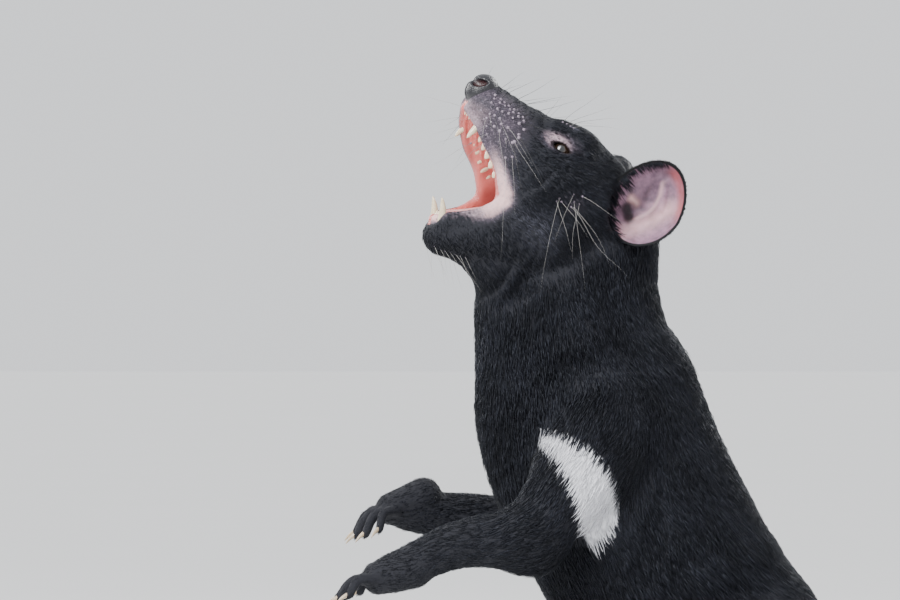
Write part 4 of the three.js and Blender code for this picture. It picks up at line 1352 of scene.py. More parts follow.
@dataclass(frozen=True)
class Finishes:
    """The colours of the animal and the finishes made of them."""

    black: Point = (0.0035, 0.0035, 0.0048)
    grey: Point = (0.016, 0.017, 0.024)
    # Blue-grey of pale hairs, and of painted sheen on the cheeks.
    ash_and_sheen: Point = (0.27, 0.27, 0.35)
    white: Point = (0.72, 0.72, 0.76)
    muzzle: Point = (0.07, 0.052, 0.075)
    pale_skin: Point = (0.42, 0.3, 0.34)
    lip: Point = (0.75, 0.47, 0.46)
    bump: Point = (0.38, 0.31, 0.38)
    lid: Point = (0.012, 0.007, 0.008)
    # Dark red of painted shade at the back of the mouth.
    coral: Point = (0.55, 0.13, 0.11)
    painted_throat_shade: Point = (0.2, 0.02, 0.018)
    ivory: Point = (0.75, 0.68, 0.52)
    root_stain: Point = (0.5, 0.36, 0.2)
    ear_skin: Point = (0.3, 0.18, 0.25)
    # Red of the ear's own flush and of painted glow of light shining through it.
    ear_flush_and_glow: Point = (0.42, 0.09, 0.09)
    horn: Point = (0.3, 0.26, 0.22)

    def skin(self) -> Material:
        """The skin under the coat, bare on the muzzle, round the eyes and in the mouth."""
        graph = Graph("skin", {"Roughness": 0.6, "Specular IOR Level": 0.3})
        white, bare, mouth, lip = graph.channels("markings")
        warm = graph.attribute("warmth")
        patches = graph.noise(120, 3)
        coat = graph.mix(graph.noise(900, 2), self.black, self.grey)
        coat = graph.mix(white, coat, self.white)
        naked = graph.mix(warm, self.muzzle, self.pale_skin)
        naked = graph.mix(graph.spread(patches, 0.4, 0.75, (0, 0.5)), naked, self.grey)
        naked = graph.mix(graph.spread(graph.noise(850, 2), 0.52, 0.66, (0, 0.45)), naked, self.bump)
        naked = graph.mix(graph.spread(graph.noise(700, 2), 0.5, 0.68, (0, 0.5)), naked, self.black)
        color = graph.mix(bare, coat, naked)
        pink = graph.mix(graph.spread(graph.noise(420, 3), 0.45, 0.75, (0, 0.5)), self.lip, self.pale_skin)
        color = graph.mix(lip, color, pink)
        color = graph.mix(graph.attribute("lid"), color, self.lid)
        # Deeper in the mouth the coral turns dark red: painted shade of the throat.
        wet = graph.mix(graph.attribute("throat"), self.coral, self.painted_throat_shade)
        color = graph.mix(mouth, color, wet)
        graph.color(color)
        soft = graph.spread(bare, 0, 1, (0.85, 0.5))
        graph.rough(graph.times(soft, graph.spread(mouth, 0, 1, (1.0, 0.3))))
        graph.bump(graph.noise(1500, 4), 0.0005, 0.6)
        return graph.material

    def coat(self) -> Material:
        """Black hair with a blue-grey shine, white on the blaze."""
        graph = Graph("coat", {
            "Roughness": 0.42, "Specular IOR Level": 0.21, "Specular Tint": (0.8, 0.87, 1, 1),
        })
        white, bare, _, _ = graph.channels("markings")
        hair = graph.mix(graph.attribute("tone"), self.black, self.grey)
        # Blue-grey hairs: partly pale hairs, partly painted sheen of light on the cheeks.
        hair = graph.mix(graph.attribute("ash_and_sheen"), hair, self.ash_and_sheen)
        hair = graph.mix(white, hair, self.white)
        pale = graph.mix(graph.attribute("warmth"), self.muzzle, self.pale_skin)
        graph.color(graph.mix(graph.times(bare, 0.25), hair, pale))
        return graph.material

    def ear(self) -> Material:
        """Lilac-pink skin inside the ears, with painted shade in the canal, and black on the back."""
        graph = Graph("ear skin", {
            "Roughness": 0.55, "Specular IOR Level": 0.3, "Subsurface Weight": 0.1, "Subsurface Scale": 0.003,
        })
        canal, flush_and_glow, tragus, back = graph.channels("ear_marks")
        color = graph.mix(graph.spread(graph.noise(160, 3), 0.35, 0.7, (0, 0.7)), self.ear_skin, self.muzzle)
        # The red flush is partly the ear's own colour and partly painted glow of light shining through it.
        color = graph.mix(flush_and_glow, color, self.ear_flush_and_glow)
        # Pale on the tragus and the lobe, and a painted highlight along the fold.
        color = graph.mix(tragus, color, self.lip)
        # Painted shade in the canal and the hollow above it, mixed towards black.
        color = graph.mix(graph.times(canal, 0.93), color, self.black)
        graph.color(graph.mix(back, color, self.black))
        graph.bump(graph.noise(900, 4), 0.0004, 0.7)
        return graph.material

    def nose(self) -> Material:
        """The wet, finely pebbled black nose."""
        graph = Graph("nose leather", {
            "Roughness": 0.33, "Specular IOR Level": 0.45, "Coat Weight": 0.22, "Coat Roughness": 0.16,
        })
        # Inside the nostrils the leather turns dark red: the lining's own red, kept dark as painted shade of
        # the hollow.
        graph.color(graph.mix(graph.attribute("hollow"), (0.007, 0.007, 0.01), (0.022, 0.002, 0.003)))
        graph.bump(graph.cells(1300), 0.0003, 0.8)
        return graph.material

    def tongue(self) -> Material:
        """Wet coral-pink tongue."""
        graph = Graph("tongue", {"Roughness": 0.2, "Subsurface Weight": 0.15, "Subsurface Scale": 0.003})
        graph.color(graph.mix(graph.noise(90, 2), self.coral, self.lip))
        graph.bump(graph.cells(1600), 0.0003, 0.6)
        return graph.material

    def tooth(self) -> Material:
        """Ivory teeth, yellower at the root."""
        graph = Graph("tooth", {"Roughness": 0.22, "Coat Weight": 0.3, "Coat Roughness": 0.1})
        graph.color(graph.mix(graph.noise(260, 3), self.ivory, self.root_stain))
        return graph.material

    def eye(self) -> Material:
        """The wet, nearly black eye."""
        graph = Graph("eye", {
            "Roughness": 0.04, "Specular IOR Level": 0.6, "Coat Weight": 1.0, "Coat Roughness": 0.02,
        })
        iris = (0.03, 0.018, 0.012)
        graph.color(graph.mix(graph.attribute("pupil"), iris, (0.004, 0.004, 0.005)))
        return graph.material

    def claw(self) -> Material:
        """Grey-brown horn."""
        graph = Graph("claw", {"Roughness": 0.3, "Coat Weight": 0.2, "Coat Roughness": 0.15})
        graph.color(graph.mix(graph.noise(300, 3, (1, 1, 0.2)), self.horn, self.root_stain))
        return graph.material

    def whisker(self) -> Material:
        """Black and pale bristles."""
        graph = Graph("whisker", {"Roughness": 0.3})
        graph.color(graph.mix(graph.attribute("tone"), self.black, (0.75, 0.72, 0.68)))
        return graph.material

    def bumps(self) -> Material:
        """The pale purple-grey bumps at the roots of the whiskers."""
        graph = Graph("whisker bumps", {"Roughness": 0.5})
        graph.color(graph.mix(graph.noise(300, 2), self.muzzle, self.bump))
        return graph.material

    def floor(self) -> Material:
        """A plain pale floor."""
        graph = Graph("floor", {"Roughness": 0.8})
        graph.color(graph.mix(graph.noise(2, 2), (0.79, 0.79, 0.785), (0.81, 0.81, 0.805)))
        return graph.material


@dataclass
class Skin:
    """The one skin of the whole animal, from the lips to the toes and the tip of the tail."""

    body: Body
    finishes: Finishes
    cell: float = 3.8
    markings: Markings = Markings()
    ear: Ear = Ear()
    low: Point = (-320.0, -140.0, -6.0)
    high: Point = (420.0, 140.0, 620.0)
    floor_gap: float = 0.3
    flesh: Flesh = field(init=False)
    chains: list[Chain] = field(init=False)
    hollows: list[Chain] = field(init=False)
    lips: list[Chain] = field(init=False)
    claws: dict[str, list[tuple[Array, Array, Array]]] = field(init=False)
    unwrap: Unwrap = field(init=False)
    net: Net = field(init=False)
    creases: tuple[Crease, ...] = (
        Crease(((70, 34, -58), (78, 37, -48), (84, 40, -36), (86, 41, -22)), 0.9, 3.5),
        Crease(((70, 33, -68), (80, 37, -70), (92, 41, -66)), 0.8, 3.0),
        Crease(((70, 27, 6), (82, 31, 7.5), (96, 33, 5), (102, 36, -4)), 1.0, 2.4),
        Crease(((72, 30, -11), (84, 34, -14), (97, 37, -10)), 1.0, 2.2),
        Crease(((0, -80, 330), (4, -92, 280), (2, -96, 235), (-6, -98, 190)), 3.0, 9.0, False),
        Crease(((-92, -60, 345), (-84, -76, 320), (-70, -86, 300)), 1.6, 7.0, False),
        Crease(((-40, -50, 430), (-36, -62, 395), (-34, -72, 360)), 1.6, 8.0, False),
    )

    def __post_init__(self) -> None:
        """Gathers the chains and makes the field of the skin."""
        self.chains = [*self.body.trunk(), *self.body.head(), *self.body.jaw()]
        self.claws = {}
        for side, name in SIDES.items():
            arm = self.body.foreleg(side)
            leg = self.body.hind_leg(side)
            self.chains += arm.chains + leg.chains
            self.claws[f"fore_{name}"] = arm.claws
            self.claws[f"hind_{name}"] = leg.claws
        self.hollows = self.body.mouth()
        self.lips = self.body.lips()
        plain = Flesh(self.chains, self.hollows, [self.add_lips, EYE.carve, self.ear.carve])
        pressed = [crease.laid(plain) for crease in self.creases]
        self.flesh = Flesh(self.chains, self.hollows, [*plain.extras, *pressed, self.palate, self.stand])
        self.unwrap = Unwrap.of(self.body)

    def add_lips(self, points: Array, inside: Array) -> Array:
        """Adds the rolled lips at the edges of the mouth."""
        inside = inside.copy()
        for chain in self.lips:
            away, near, _ = chain.nearest(points)
            if len(near):
                local = HEAD.into(points[near])
                scallop = 0.4 * np.sin(local[:, 0] * 1.5) * smooth_step(-52, -66, local[:, 2])
                inside[near] = smooth_min(inside[near], away[near] + scallop, chain.blend)
        return inside

    def palate(self, points: Array, inside: Array) -> Array:
        """Presses the ridges of the palate."""
        local = HEAD.into(points)
        s, l, h = local.T
        inside_mouth = (np.abs(l) < 17) & (s > 14) & (s < 84) & (h > -48 - 0.1 * s) & (h < -8)
        wave = np.sin(2 * np.pi * (s - 0.06 * l**2) / 7.0)
        fade = smooth_step(17, 9, np.abs(l))
        return inside + np.where(inside_mouth, 0.7 * wave * fade, 0)

    def stand(self, points: Array, inside: Array) -> Array:
        """Cuts the soles and the tail's underside level with the floor."""
        return np.maximum(inside, self.floor_gap - points[:, 2])

    def in_mouth(self, points: Array) -> Array:
        """Which points line the hollow of the mouth."""
        deep = smooth_step(78, 90, HEAD.into(points)[:, 0])
        lining = nearest_of(self.hollows, points) < 3.2 + 6 * deep
        return lining & (nearest_of(self.lips, points) > 0.5)

    def shape(self) -> None:
        """Wraps the net round the flesh, finest at the face and fine at the head and paws."""
        net = Net.around(self.flesh, self.low, self.high, self.cell)
        centres = net.centres()
        local = HEAD.into(centres)
        head = (local[:, 0] < 168) & (np.abs(local[:, 1]) < 75) & (local[:, 2] > -130) & (local[:, 2] < 45)
        paws = np.zeros(len(centres), bool)
        for claws in self.claws.values():
            for start, _, _ in claws:
                paws |= lengths(centres - start) < 26
        net.split(head | paws)
        local = HEAD.into(net.centres())
        face = (local[:, 0] < 70) & (local[:, 2] > -112) & (np.abs(local[:, 1]) < 60)
        for side in SIDES:
            offset = lengths(local - np.array(EYE.at) * [1, side, 1])
            face |= offset < 17
        net.split(face)
        net.points = self.flesh.settled(net.points)
        self.net = net

    def marks(self, points: Array) -> dict[str, Array]:
        """What the finishes need at points of the skin."""
        local = HEAD.into(points)
        mouth = np.maximum(self.in_mouth(points), 0.85 * self.markings.inner(points, self.lips))
        marks = np.stack([
            self.markings.white(points),
            self.markings.bare(points, self.lips),
            mouth,
            self.markings.lip(points, self.lips) * (1 - mouth),
        ], 1)
        eye = np.stack([(local[:, 0] - 78) / 14, (np.abs(local[:, 1]) - 31) / 14, local[:, 2] / 8], 1)
        front = smooth_step(26, 12, local[:, 0]) * smooth_step(-4, -14, local[:, 2])
        near_lips = smooth_step(7, 2, nearest_of(self.lips, points)) * smooth_step(30, 60, local[:, 0])
        round_eye = smooth_step(1.2, 0.5, lengths(eye))
        warm = np.maximum.reduce([round_eye, front * 0.7, near_lips])
        # Darker towards the back of the mouth, as painted shade of the throat.
        throat = smooth_step(55, 88, local[:, 0])
        lid = smooth_step(1.6, 0.5, EYE.lid_edge(points))
        return {"markings": marks, "warmth": warm, "throat": throat, "lid": lid}

    def regions(self, points: Array) -> Array:
        """The region of each point."""
        regions = read_chains(self.chains, points).region
        regions[self.in_mouth(points)] = Region.MOUTH.value
        return regions

    def uvs(self, faces: list[list[int]]) -> Array:
        """Places on the unwrap for each corner of the faces."""
        sizes = np.array([len(face) for face in faces])
        corners = np.fromiter((i for face in faces for i in face), int, sizes.sum())
        owner = np.repeat(np.arange(len(faces)), sizes)
        firsts = corners[np.concatenate([[0], np.cumsum(sizes)[:-1]])]
        sums = np.stack([np.bincount(owner, self.net.points[corners, k]) for k in range(3)], 1)
        centres = sums / sizes[:, None]
        regions = self.regions(centres)
        result = np.zeros((len(corners), 2))
        angle = np.zeros(len(faces))
        for region, chart in self.unwrap.charts.items():
            mine = regions == region.value
            if not mine.any():
                continue
            _, angle[mine] = chart.read(self.net.points[firsts[mine]])
            here = mine[owner]
            result[here], _ = chart.read(self.net.points[corners[here]], angle[owner[here]])
        return np.clip(result, 0, 1)

    def build(self) -> bpy.types.Object:
        """Makes the skin in place of all the nodes of flesh."""
        self.shape()
        faces = self.net.quads.tolist() + self.net.rims
        piece = Piece("skin", self.net.points, faces, self.marks(self.net.points), self.uvs(faces))
        pairs = ("upper_arm", "forearm", "forepaw", "thigh", "shank", "foot")
        nodes = ["head", "lower_jaw", "neck", "chest", "belly", "tail"]
        nodes += [f"{part}_{side}" for part in pairs for side in SIDES.values()]
        return piece.build(self.finishes.skin(), "coat", nodes)


@dataclass
class Coat:
    """The short coat: flat three-sided locks that lie along the body."""

    skin: Skin
    finishes: Finishes
    most: int = 19800
    sunk: float = 0.5
    patch: float = 0.0015
    ear_locks: int = 2600
    rim_locks: int = 700
    dense: dict[Region, float] = field(default_factory=lambda: {
        Region.TRUNK: 0.32, Region.HEAD: 0.72, Region.MOUTH: 0.0, Region.TAIL: 0.3,
        Region.ARM_LEFT: 0.28, Region.ARM_RIGHT: 0.28, Region.LEG_LEFT: 0.25, Region.LEG_RIGHT: 0.25,
    })
    faces: tuple[tuple[int, int, int], ...] = (
        (0, 1, 2), (0, 2, 3), (2, 5, 3), (2, 1, 5), (1, 4, 5), (1, 0, 4), (0, 3, 4), (3, 5, 6), (5, 4, 6),
        (4, 3, 6),
    )

    def roots(self, rng: np.random.Generator) -> tuple[Array, Array]:
        """Where the locks grow, spread evenly over the skin.

        Args:
            rng: The source of chance.

        Returns:
            The roots and the skin's direction there.
        """
        net = self.skin.net
        faces = net.triangles()
        a, b, c = (net.points[faces[:, k]] for k in range(3))
        cross = np.cross(b - a, c - a)
        area = lengths(cross) / 2
        normals = np.zeros_like(net.points)
        for k in range(3):
            for axis in range(3):
                normals[:, axis] += np.bincount(faces[:, k], cross[:, axis], len(net.points))
        normals = unit(normals)
        centres = (a + b + c) / 3
        regions = self.skin.regions(centres)
        density = np.array([self.dense[region] for region in Region])[regions]
        marks = self.skin.markings
        bare = marks.bare(centres, self.skin.lips)
        density *= 1 - 0.35 * bare
        density *= 1 - smooth_step(0.05, 0.5, marks.lip(centres, self.skin.lips))
        local = HEAD.into(centres)
        for side in SIDES:
            density[lengths(local - np.array(EYE.at) * [1, side, 1]) < EYE.radius + 2.2] = 0
            density[self.skin.ear.room(centres, side) < 1.0] = 0
        density *= 1 - smooth_step(0.05, 0.4, marks.inner(centres, self.skin.lips))
        nose = lengths(local - [8, 0, 5])
        density[nose < 13.5] = 0
        density[(centres[:, 2] < 2.5) & (unit(cross)[:, 2] < -0.3)] = 0
        total = np.cumsum(area * density)
        spots = np.arange(0.5, total[-1], 1.0) + rng.uniform(-0.5, 0.5, len(np.arange(0.5, total[-1], 1.0)))
        chosen = np.minimum(np.searchsorted(total, spots), len(faces) - 1)
        u = np.sqrt(rng.random(len(chosen)))
        v = rng.random(len(chosen))
        shares = np.stack([1 - u, u * (1 - v), u * v], 1)
        corners = faces[chosen]
        places = np.einsum("ij,ijk->ik", shares, net.points[corners])
        return places, unit(np.einsum("ij,ijk->ik", shares, normals[corners]))

    def ear_roots(self, side: int, rng: np.random.Generator) -> tuple[Array, Array, Array, Array]:
        """The hair on the back of an ear, at its edge and over the front of its bowl.

        Args:
            side: 1 for the left ear and -1 for the right.
            rng: The source of chance.

        Returns:
            The roots, the skin's direction, the lie and the length of each hair.
        """
        ear = self.skin.ear
        _, axes = ear.frame(side)
        behind = rng.uniform(0.15, 1, self.ear_locks) ** 0.7
        share = np.concatenate([behind, rng.uniform(0.95, 1, self.rim_locks)])
        turn = rng.uniform(0, 2 * np.pi, len(share))
        roots = ear.spot(side, share, turn, False)
        lie = unit(ear.spot(side, share + 0.01, turn, False) - roots)
        round_it = ear.spot(side, share, turn + 0.01, False) - roots
        normals = unit(np.cross(round_it, lie))
        normals[normals @ axes[1] > 0] *= -1
        front = np.cos(turn) * side
        length = np.where(share > 0.94, 4.2, 5.5)
        low = np.sin(turn) < 0.2
        fringe = (front > 0.3) & (share > 0.93)
        swept = -axes[0] * side + 0.35 * axes[1] - 0.25 * axes[2]
        lie[fringe] = unit(swept + rng.normal(0, 0.15, (fringe.sum(), 3)))
        normals[fringe] = axes[1]
        length[fringe] = (rng.uniform(6, 11, len(low)) + 5 * low)[fringe]
        return roots, normals, lie, length

    def along_skin(self, lie: Array, normals: Array) -> Array:
        """The lie turned into the skin's own plane, and drawn backward where it would point straight in."""
        flat = lie - normals * dots(lie, normals)[:, None]
        weak = np.clip(0.6 - lengths(flat), 0, 1)[:, None]
        back = np.array([1.0, 0, -0.15])
        back = unit(back - normals * (normals @ back)[:, None])
        return unit(flat + 1.5 * weak * back)

    def zones(self, points: Array, regions: Array, on_ear: Array) -> dict[str, Array]:
        """Splits the locks into pieces, by the part of the body they grow on."""
        local = HEAD.into(points)
        left = points[:, 1] < 0
        z = points[:, 2]
        trunk = regions == Region.TRUNK.value
        head = np.isin(regions, (Region.HEAD.value, Region.MOUTH.value)) & ~on_ear
        zones = {
            "ears": on_ear,
            "head_left": head & (local[:, 1] >= 0),
            "head_right": head & (local[:, 1] < 0),
            "tail": regions == Region.TAIL.value,
        }
        bands = {
            "neck": z >= 340,
            "chest": (z >= 235) & (z < 340),
            "belly": (z >= 140) & (z < 235),
            "rump": z < 140,
        }
        for name, band in bands.items():
            zones[f"{name}_left"] = trunk & band & left
            zones[f"{name}_right"] = trunk & band & ~left
        for name, pair in (("foreleg", ARMS), ("hind_leg", LEGS)):
            limb = np.isin(regions, [region.value for region in pair.values()])
            zones[f"{name}_left"] = limb & left
            zones[f"{name}_right"] = limb & ~left
        return zones

    def lock_points(
        self, roots: Array, normals: Array, lie: Array, length: Array, width: Array, rng: np.random.Generator
    ) -> Array:
        """The seven points of each lock.

        Args:
            roots: Where the locks grow.
            normals: The skin's direction there.
            lie: The way the coat lies, along the skin.
            length: Each lock's length.
            width: Each lock's width.
            rng: The source of chance.

        Returns:
            The points, seven to a lock.
        """
        count = len(roots)
        side = unit(np.cross(normals, lie))
        lift = np.radians(rng.uniform(7, 19, count))[:, None]
        ahead = lie * np.cos(lift) + normals * np.sin(lift)
        droop = normals * rng.uniform(0.25, 0.5, count)[:, None]
        end = unit(ahead - droop + side * rng.normal(0, 0.12, count)[:, None])
        start = roots - normals * self.sunk
        middle = start + ahead * (length * 0.5)[:, None]
        tip = middle + end * (length * 0.5)[:, None]
        half = side * (width / 2)[:, None]
        thick = normals * (width * 0.35)[:, None]
        return np.stack([
            start + half, start - half, start + thick,
            middle + half * 0.8, middle - half * 0.8, middle + thick * 0.8,
            tip,
        ], 1)

    def build(self) -> None:
        """Grows the coat, one piece for each part of the body."""
        rng = np.random.default_rng(SEED)
        roots, normals = self.roots(rng)
        ears = [self.ear_roots(side, rng) for side in SIDES]
        body_count = len(roots)
        roots = np.concatenate([roots, *[ear[0] for ear in ears]])
        normals = np.concatenate([normals, *[ear[1] for ear in ears]])
        on_ear = np.arange(len(roots)) >= body_count
        reading = read_chains(self.skin.chains, roots)
        reading.region[on_ear] = Region.HEAD.value
        reading.lie[on_ear] = np.concatenate([ear[2] for ear in ears])
        reading.hair[on_ear] = np.concatenate([ear[3] for ear in ears])
        marks = self.skin.marks(roots)
        bare = marks["markings"][:, 1]
        wave = np.sin(roots @ [0.11, 0.07, 0.05]) + np.sin(roots @ [-0.05, 0.13, 0.09] + 2)
        turn = rng.normal(0, 0.1, len(roots)) + 0.07 * wave
        lie = self.along_skin(reading.lie, normals)
        aside = np.cross(normals, lie)
        lie = unit(lie * np.cos(turn)[:, None] + aside * np.sin(turn)[:, None])
        length = reading.hair * rng.uniform(0.7, 1.25, len(roots)) * (1 - 0.3 * bare)
        width = np.clip(0.32 + 0.042 * length, 0.3, 1.05) * rng.uniform(0.75, 1.25, len(roots))
        width *= 1 - 0.25 * bare
        points = self.lock_points(roots, normals, lie, length, width, rng)
        points[..., 2] = np.maximum(points[..., 2], self.skin.floor_gap)
        regions = reading.region
        places = np.zeros((len(roots), 2))
        for region, chart in self.skin.unwrap.charts.items():
            mine = regions == region.value
            if mine.any():
                places[mine], _ = chart.read(roots[mine])
        patch = np.array([(-1, -1), (1, -1), (0, -0.7), (-1, 0.2), (1, 0.2), (0, 0.5), (0, 1)]) * self.patch
        tone = np.clip(rng.beta(1.3, 3.2, len(roots)) + 0.1 * wave, 0, 1)
        local = HEAD.into(roots)
        away = lengths((local - [100, 0, -68]) / [42, 60, 32])
        brow = lengths((np.abs(local) - [84, 25, 14]) / [7, 5, 5])
        pale = np.maximum(smooth_step(1.1, 0.3, away) * (np.abs(local[:, 1]) > 18), bare * (local[:, 0] < 68))
        # Blue-grey hairs: pale hairs on the brows and round the bare muzzle, and painted sheen of light on
        # the cheeks' black coat.
        cheek_ash_and_sheen = pale * rng.random(len(roots)) ** 1.6
        marks["ash_and_sheen"] = cheek_ash_and_sheen + smooth_step(1.3, 0.6, brow) * rng.random(len(roots))
        marks["tone"] = tone
        carried = {key: values for key, values in marks.items() if key not in ("throat", "lid")}
        faces = np.array(self.faces)
        finish = self.finishes.coat()
        for name, chosen in self.zones(roots, regions, on_ear).items():
            index = np.flatnonzero(chosen)
            if len(index) > self.most:
                log.warning("%s has %d locks; only %d are kept", name, len(index), self.most)
                index = np.sort(rng.permutation(index)[: self.most])
            count = len(index)
            if not count:
                continue
            corners = (faces[None] + 7 * np.arange(count)[:, None, None]).reshape(-1, 3)
            spots = (places[index][:, None] + patch).reshape(-1, 2)
            looks = {key: np.repeat(values[index], 7, 0) for key, values in carried.items()}
            uvs = np.clip(spots, 0, 1)[corners.ravel()]
            Piece(f"coat_{name}", points[index].reshape(-1, 3), corners, looks, uvs).build(finish, "coat")


@dataclass
class Nose:
    """The bare, wet nose with its comma-shaped nostrils and the groove between them."""

    finishes: Finishes
    cell: float = 0.75
    nostril: Point = (2.5, 7.0, 8.0)
    nostril_size: Point = (8.5, 4.4, 3.9)
    nostril_turn: float = 0.6

    def flesh(self) -> Flesh:
        """The pad's field."""
        pad = head_chain([(10, 0, 3, 11), (12.5, 0, 8, 11.5)], factor=1.12)
        return Flesh([pad], extras=[self.dent])

    def dent(self, points: Array, inside: Array) -> Array:
        """Presses the nostrils and the middle groove into the pad."""
        local = HEAD.into(points)
        for side in SIDES:
            q = local - np.array(self.nostril) * [1, side, 1]
            turn = side * self.nostril_turn
            s = q[:, 0] * math.cos(turn) + q[:, 1] * math.sin(turn)
            l = q[:, 1] * math.cos(turn) - q[:, 0] * math.sin(turn)
            h = q[:, 2] - 0.05 * s**2
            scaled = np.stack([s, l, h], 1) / self.nostril_size
            hole = (lengths(scaled) - 1) * min(self.nostril_size)
            inside = -smooth_min(-inside, hole, 1.2)
        groove = 1.1 * np.exp(-((local[:, 1] / 0.9) ** 2)) * smooth_step(11, 4, local[:, 0])
        return inside + groove

    def build(self) -> None:
        """Makes the nose."""
        flesh = self.flesh()
        middle = HEAD.out((11, 0, 5))
        net = Net.around(flesh, middle - 18, middle + 18, self.cell)
        net.points = flesh.settled(net.points)
        # How deep inside the nostrils a point lies, for their dark red lining and its painted shade.
        whole = Flesh(flesh.chains).distance(net.points)
        piece = Piece("nose_pad", net.points, net.quads, {"hollow": smooth_step(-0.8, -3.5, whole)})
        piece.build(self.finishes.nose(), "nose_leather", ["nose"])


@dataclass
class Mouth:
    """The tongue and the teeth."""

    finishes: Finishes
    tongue: tuple[Section, ...] = ((42, 0, -93, 5), (56, 0, -87, 8), (74, 0, -76, 11))
    cell: float = 1.4
    right_tuck: Point = (1.5, 2.0, 3.5)
    upper: tuple[tuple, ...] = (
        ((9.5, 2, -13), 6, 1.7, (0, 0, -1), 0),
        ((10.5, 5.2, -13.5), 6, 1.8, (0, 0.05, -1), 0),
        ((12.5, 8.2, -14.5), 6.5, 1.9, (0, 0.1, -1), 0),
        ((23, 13.3, -16.5), 20, 4.2, (-0.45, 0.1, -1), 0.3),
        ((28.5, 15, -25), 8, 3.4, (-0.2, 0.05, -1), 0.1),
        ((34, 16, -29), 8, 4.0, (-0.2, 0.05, -1), 0.1),
        ((40, 17.5, -33), 8.5, 4.6, (-0.25, 0.05, -1), 0.1),
        ((46.5, 19.5, -38), 8.5, 4.9, (-0.3, 0.05, -1), 0.1),
        ((53, 21.5, -43), 8.5, 4.9, (-0.35, 0.05, -1), 0.1),
        ((59, 23.5, -48), 8, 4.2, (-0.35, 0.05, -1), 0.1),
    )
    lower: tuple[tuple, ...] = (
        ((35.5, 2.2, -100), 7, 1.7, (-0.3, 0, 1), 0),
        ((36, 5.4, -100), 7, 1.8, (-0.3, 0.05, 1), 0),
        ((37.5, 9.8, -101), 20, 4, (-0.45, 0.12, 1), -0.4),
        ((45.5, 13, -97), 8.5, 3, (-0.2, 0.05, 1), 0.1),
        ((52, 15, -93), 8.5, 3.6, (-0.2, 0.05, 1), 0.1),
        ((58.5, 17.5, -88), 9, 4.1, (-0.25, 0.05, 1), 0.1),
        ((64.5, 20, -82.5), 9, 4.1, (-0.3, 0.05, 1), 0.1),
    )

    def groove(self, points: Array, inside: Array) -> Array:
        """Presses the groove down the tongue's middle."""
        local = HEAD.into(points)
        return inside + 1.0 * np.exp(-((local[:, 1] / 2.2) ** 2)) * (local[:, 2] > -90)

    def teeth(self, rows: tuple[tuple, ...], name: str, material: Material) -> None:
        """Makes the teeth of one jaw on both sides."""
        heap = Heap()
        for root, length, radius, way, curl in rows:
            for side in SIDES:
                flip = np.array([1, side, 1])
                tucked = side < 0 and rows is self.upper and length < 10
                start = HEAD.out(np.array(root) * flip + np.array(self.right_tuck) * tucked)
                ahead = HEAD.way(np.array(way) * flip)
                shape = strand(start, ahead, HEAD.way((1, 0, 0)), length, radius, curl, 9, 12, 0.6)
                heap.add(shape)
        heap.piece(name).build(material, "tooth")

    def build(self) -> None:
        """Makes the tongue and the teeth."""
        flesh = Flesh([head_chain(self.tongue, factor=1.6, blend=5)], extras=[self.groove])
        middle = HEAD.out((58, 0, -84))
        net = Net.around(flesh, middle - 38, middle + 38, self.cell)
        net.points = flesh.settled(net.points)
        Piece("tongue_flesh", net.points, net.quads).build(self.finishes.tongue(), "mouth_lining", ["tongue"])
        enamel = self.finishes.tooth()
        self.teeth(self.upper, "teeth_upper", enamel)
        self.teeth(self.lower, "teeth_lower", enamel)


@dataclass
class Eyeballs:
    """Both eyes: dark wet balls with a bulging cornea."""

    finishes: Finishes
    rings: int = 32
    sides: int = 48
    bulge: float = 0.8

    def ball(self, side: int) -> Piece:
        """One eyeball."""
        centre, axes = EYE.frame(side)
        polar = np.repeat(math.pi * np.arange(self.rings - 1, 0, -1) / self.rings, self.sides)
        turn = np.arange(len(polar)) * 2 * math.pi / self.sides
        ways = np.stack([np.sin(polar) * np.cos(turn), np.sin(polar) * np.sin(turn), np.cos(polar)], 1)
        ways = np.concatenate([ways, [[0, 0, 1], [0, 0, -1]]])
        off = np.degrees(np.arccos(np.clip(ways[:, 2], -1, 1)))
        radius = EYE.radius + self.bulge * smooth_step(42, 14, off)
        points = (ways * radius[:, None]) @ axes + centre
        faces = tube_faces(self.rings - 1, self.sides)
        return Piece(f"eyeball_{SIDES[side]}", points, faces, {"pupil": smooth_step(24, 18, off)})

    def build(self) -> None:
        """Makes both eyes."""
        wet = self.finishes.eye()
        for side, name in SIDES.items():
            self.ball(side).build(wet, "eye", [f"eye_{name}"])


@dataclass(frozen=True)
class Bristle:
    """One whisker: its place near the skin and its way in the head's frame, its length and its colour."""

    place: Point
    way: Point
    length: float
    pale: float
    bump: float = 1.35
    wave: float = 0.12
    curl: float = 0.55


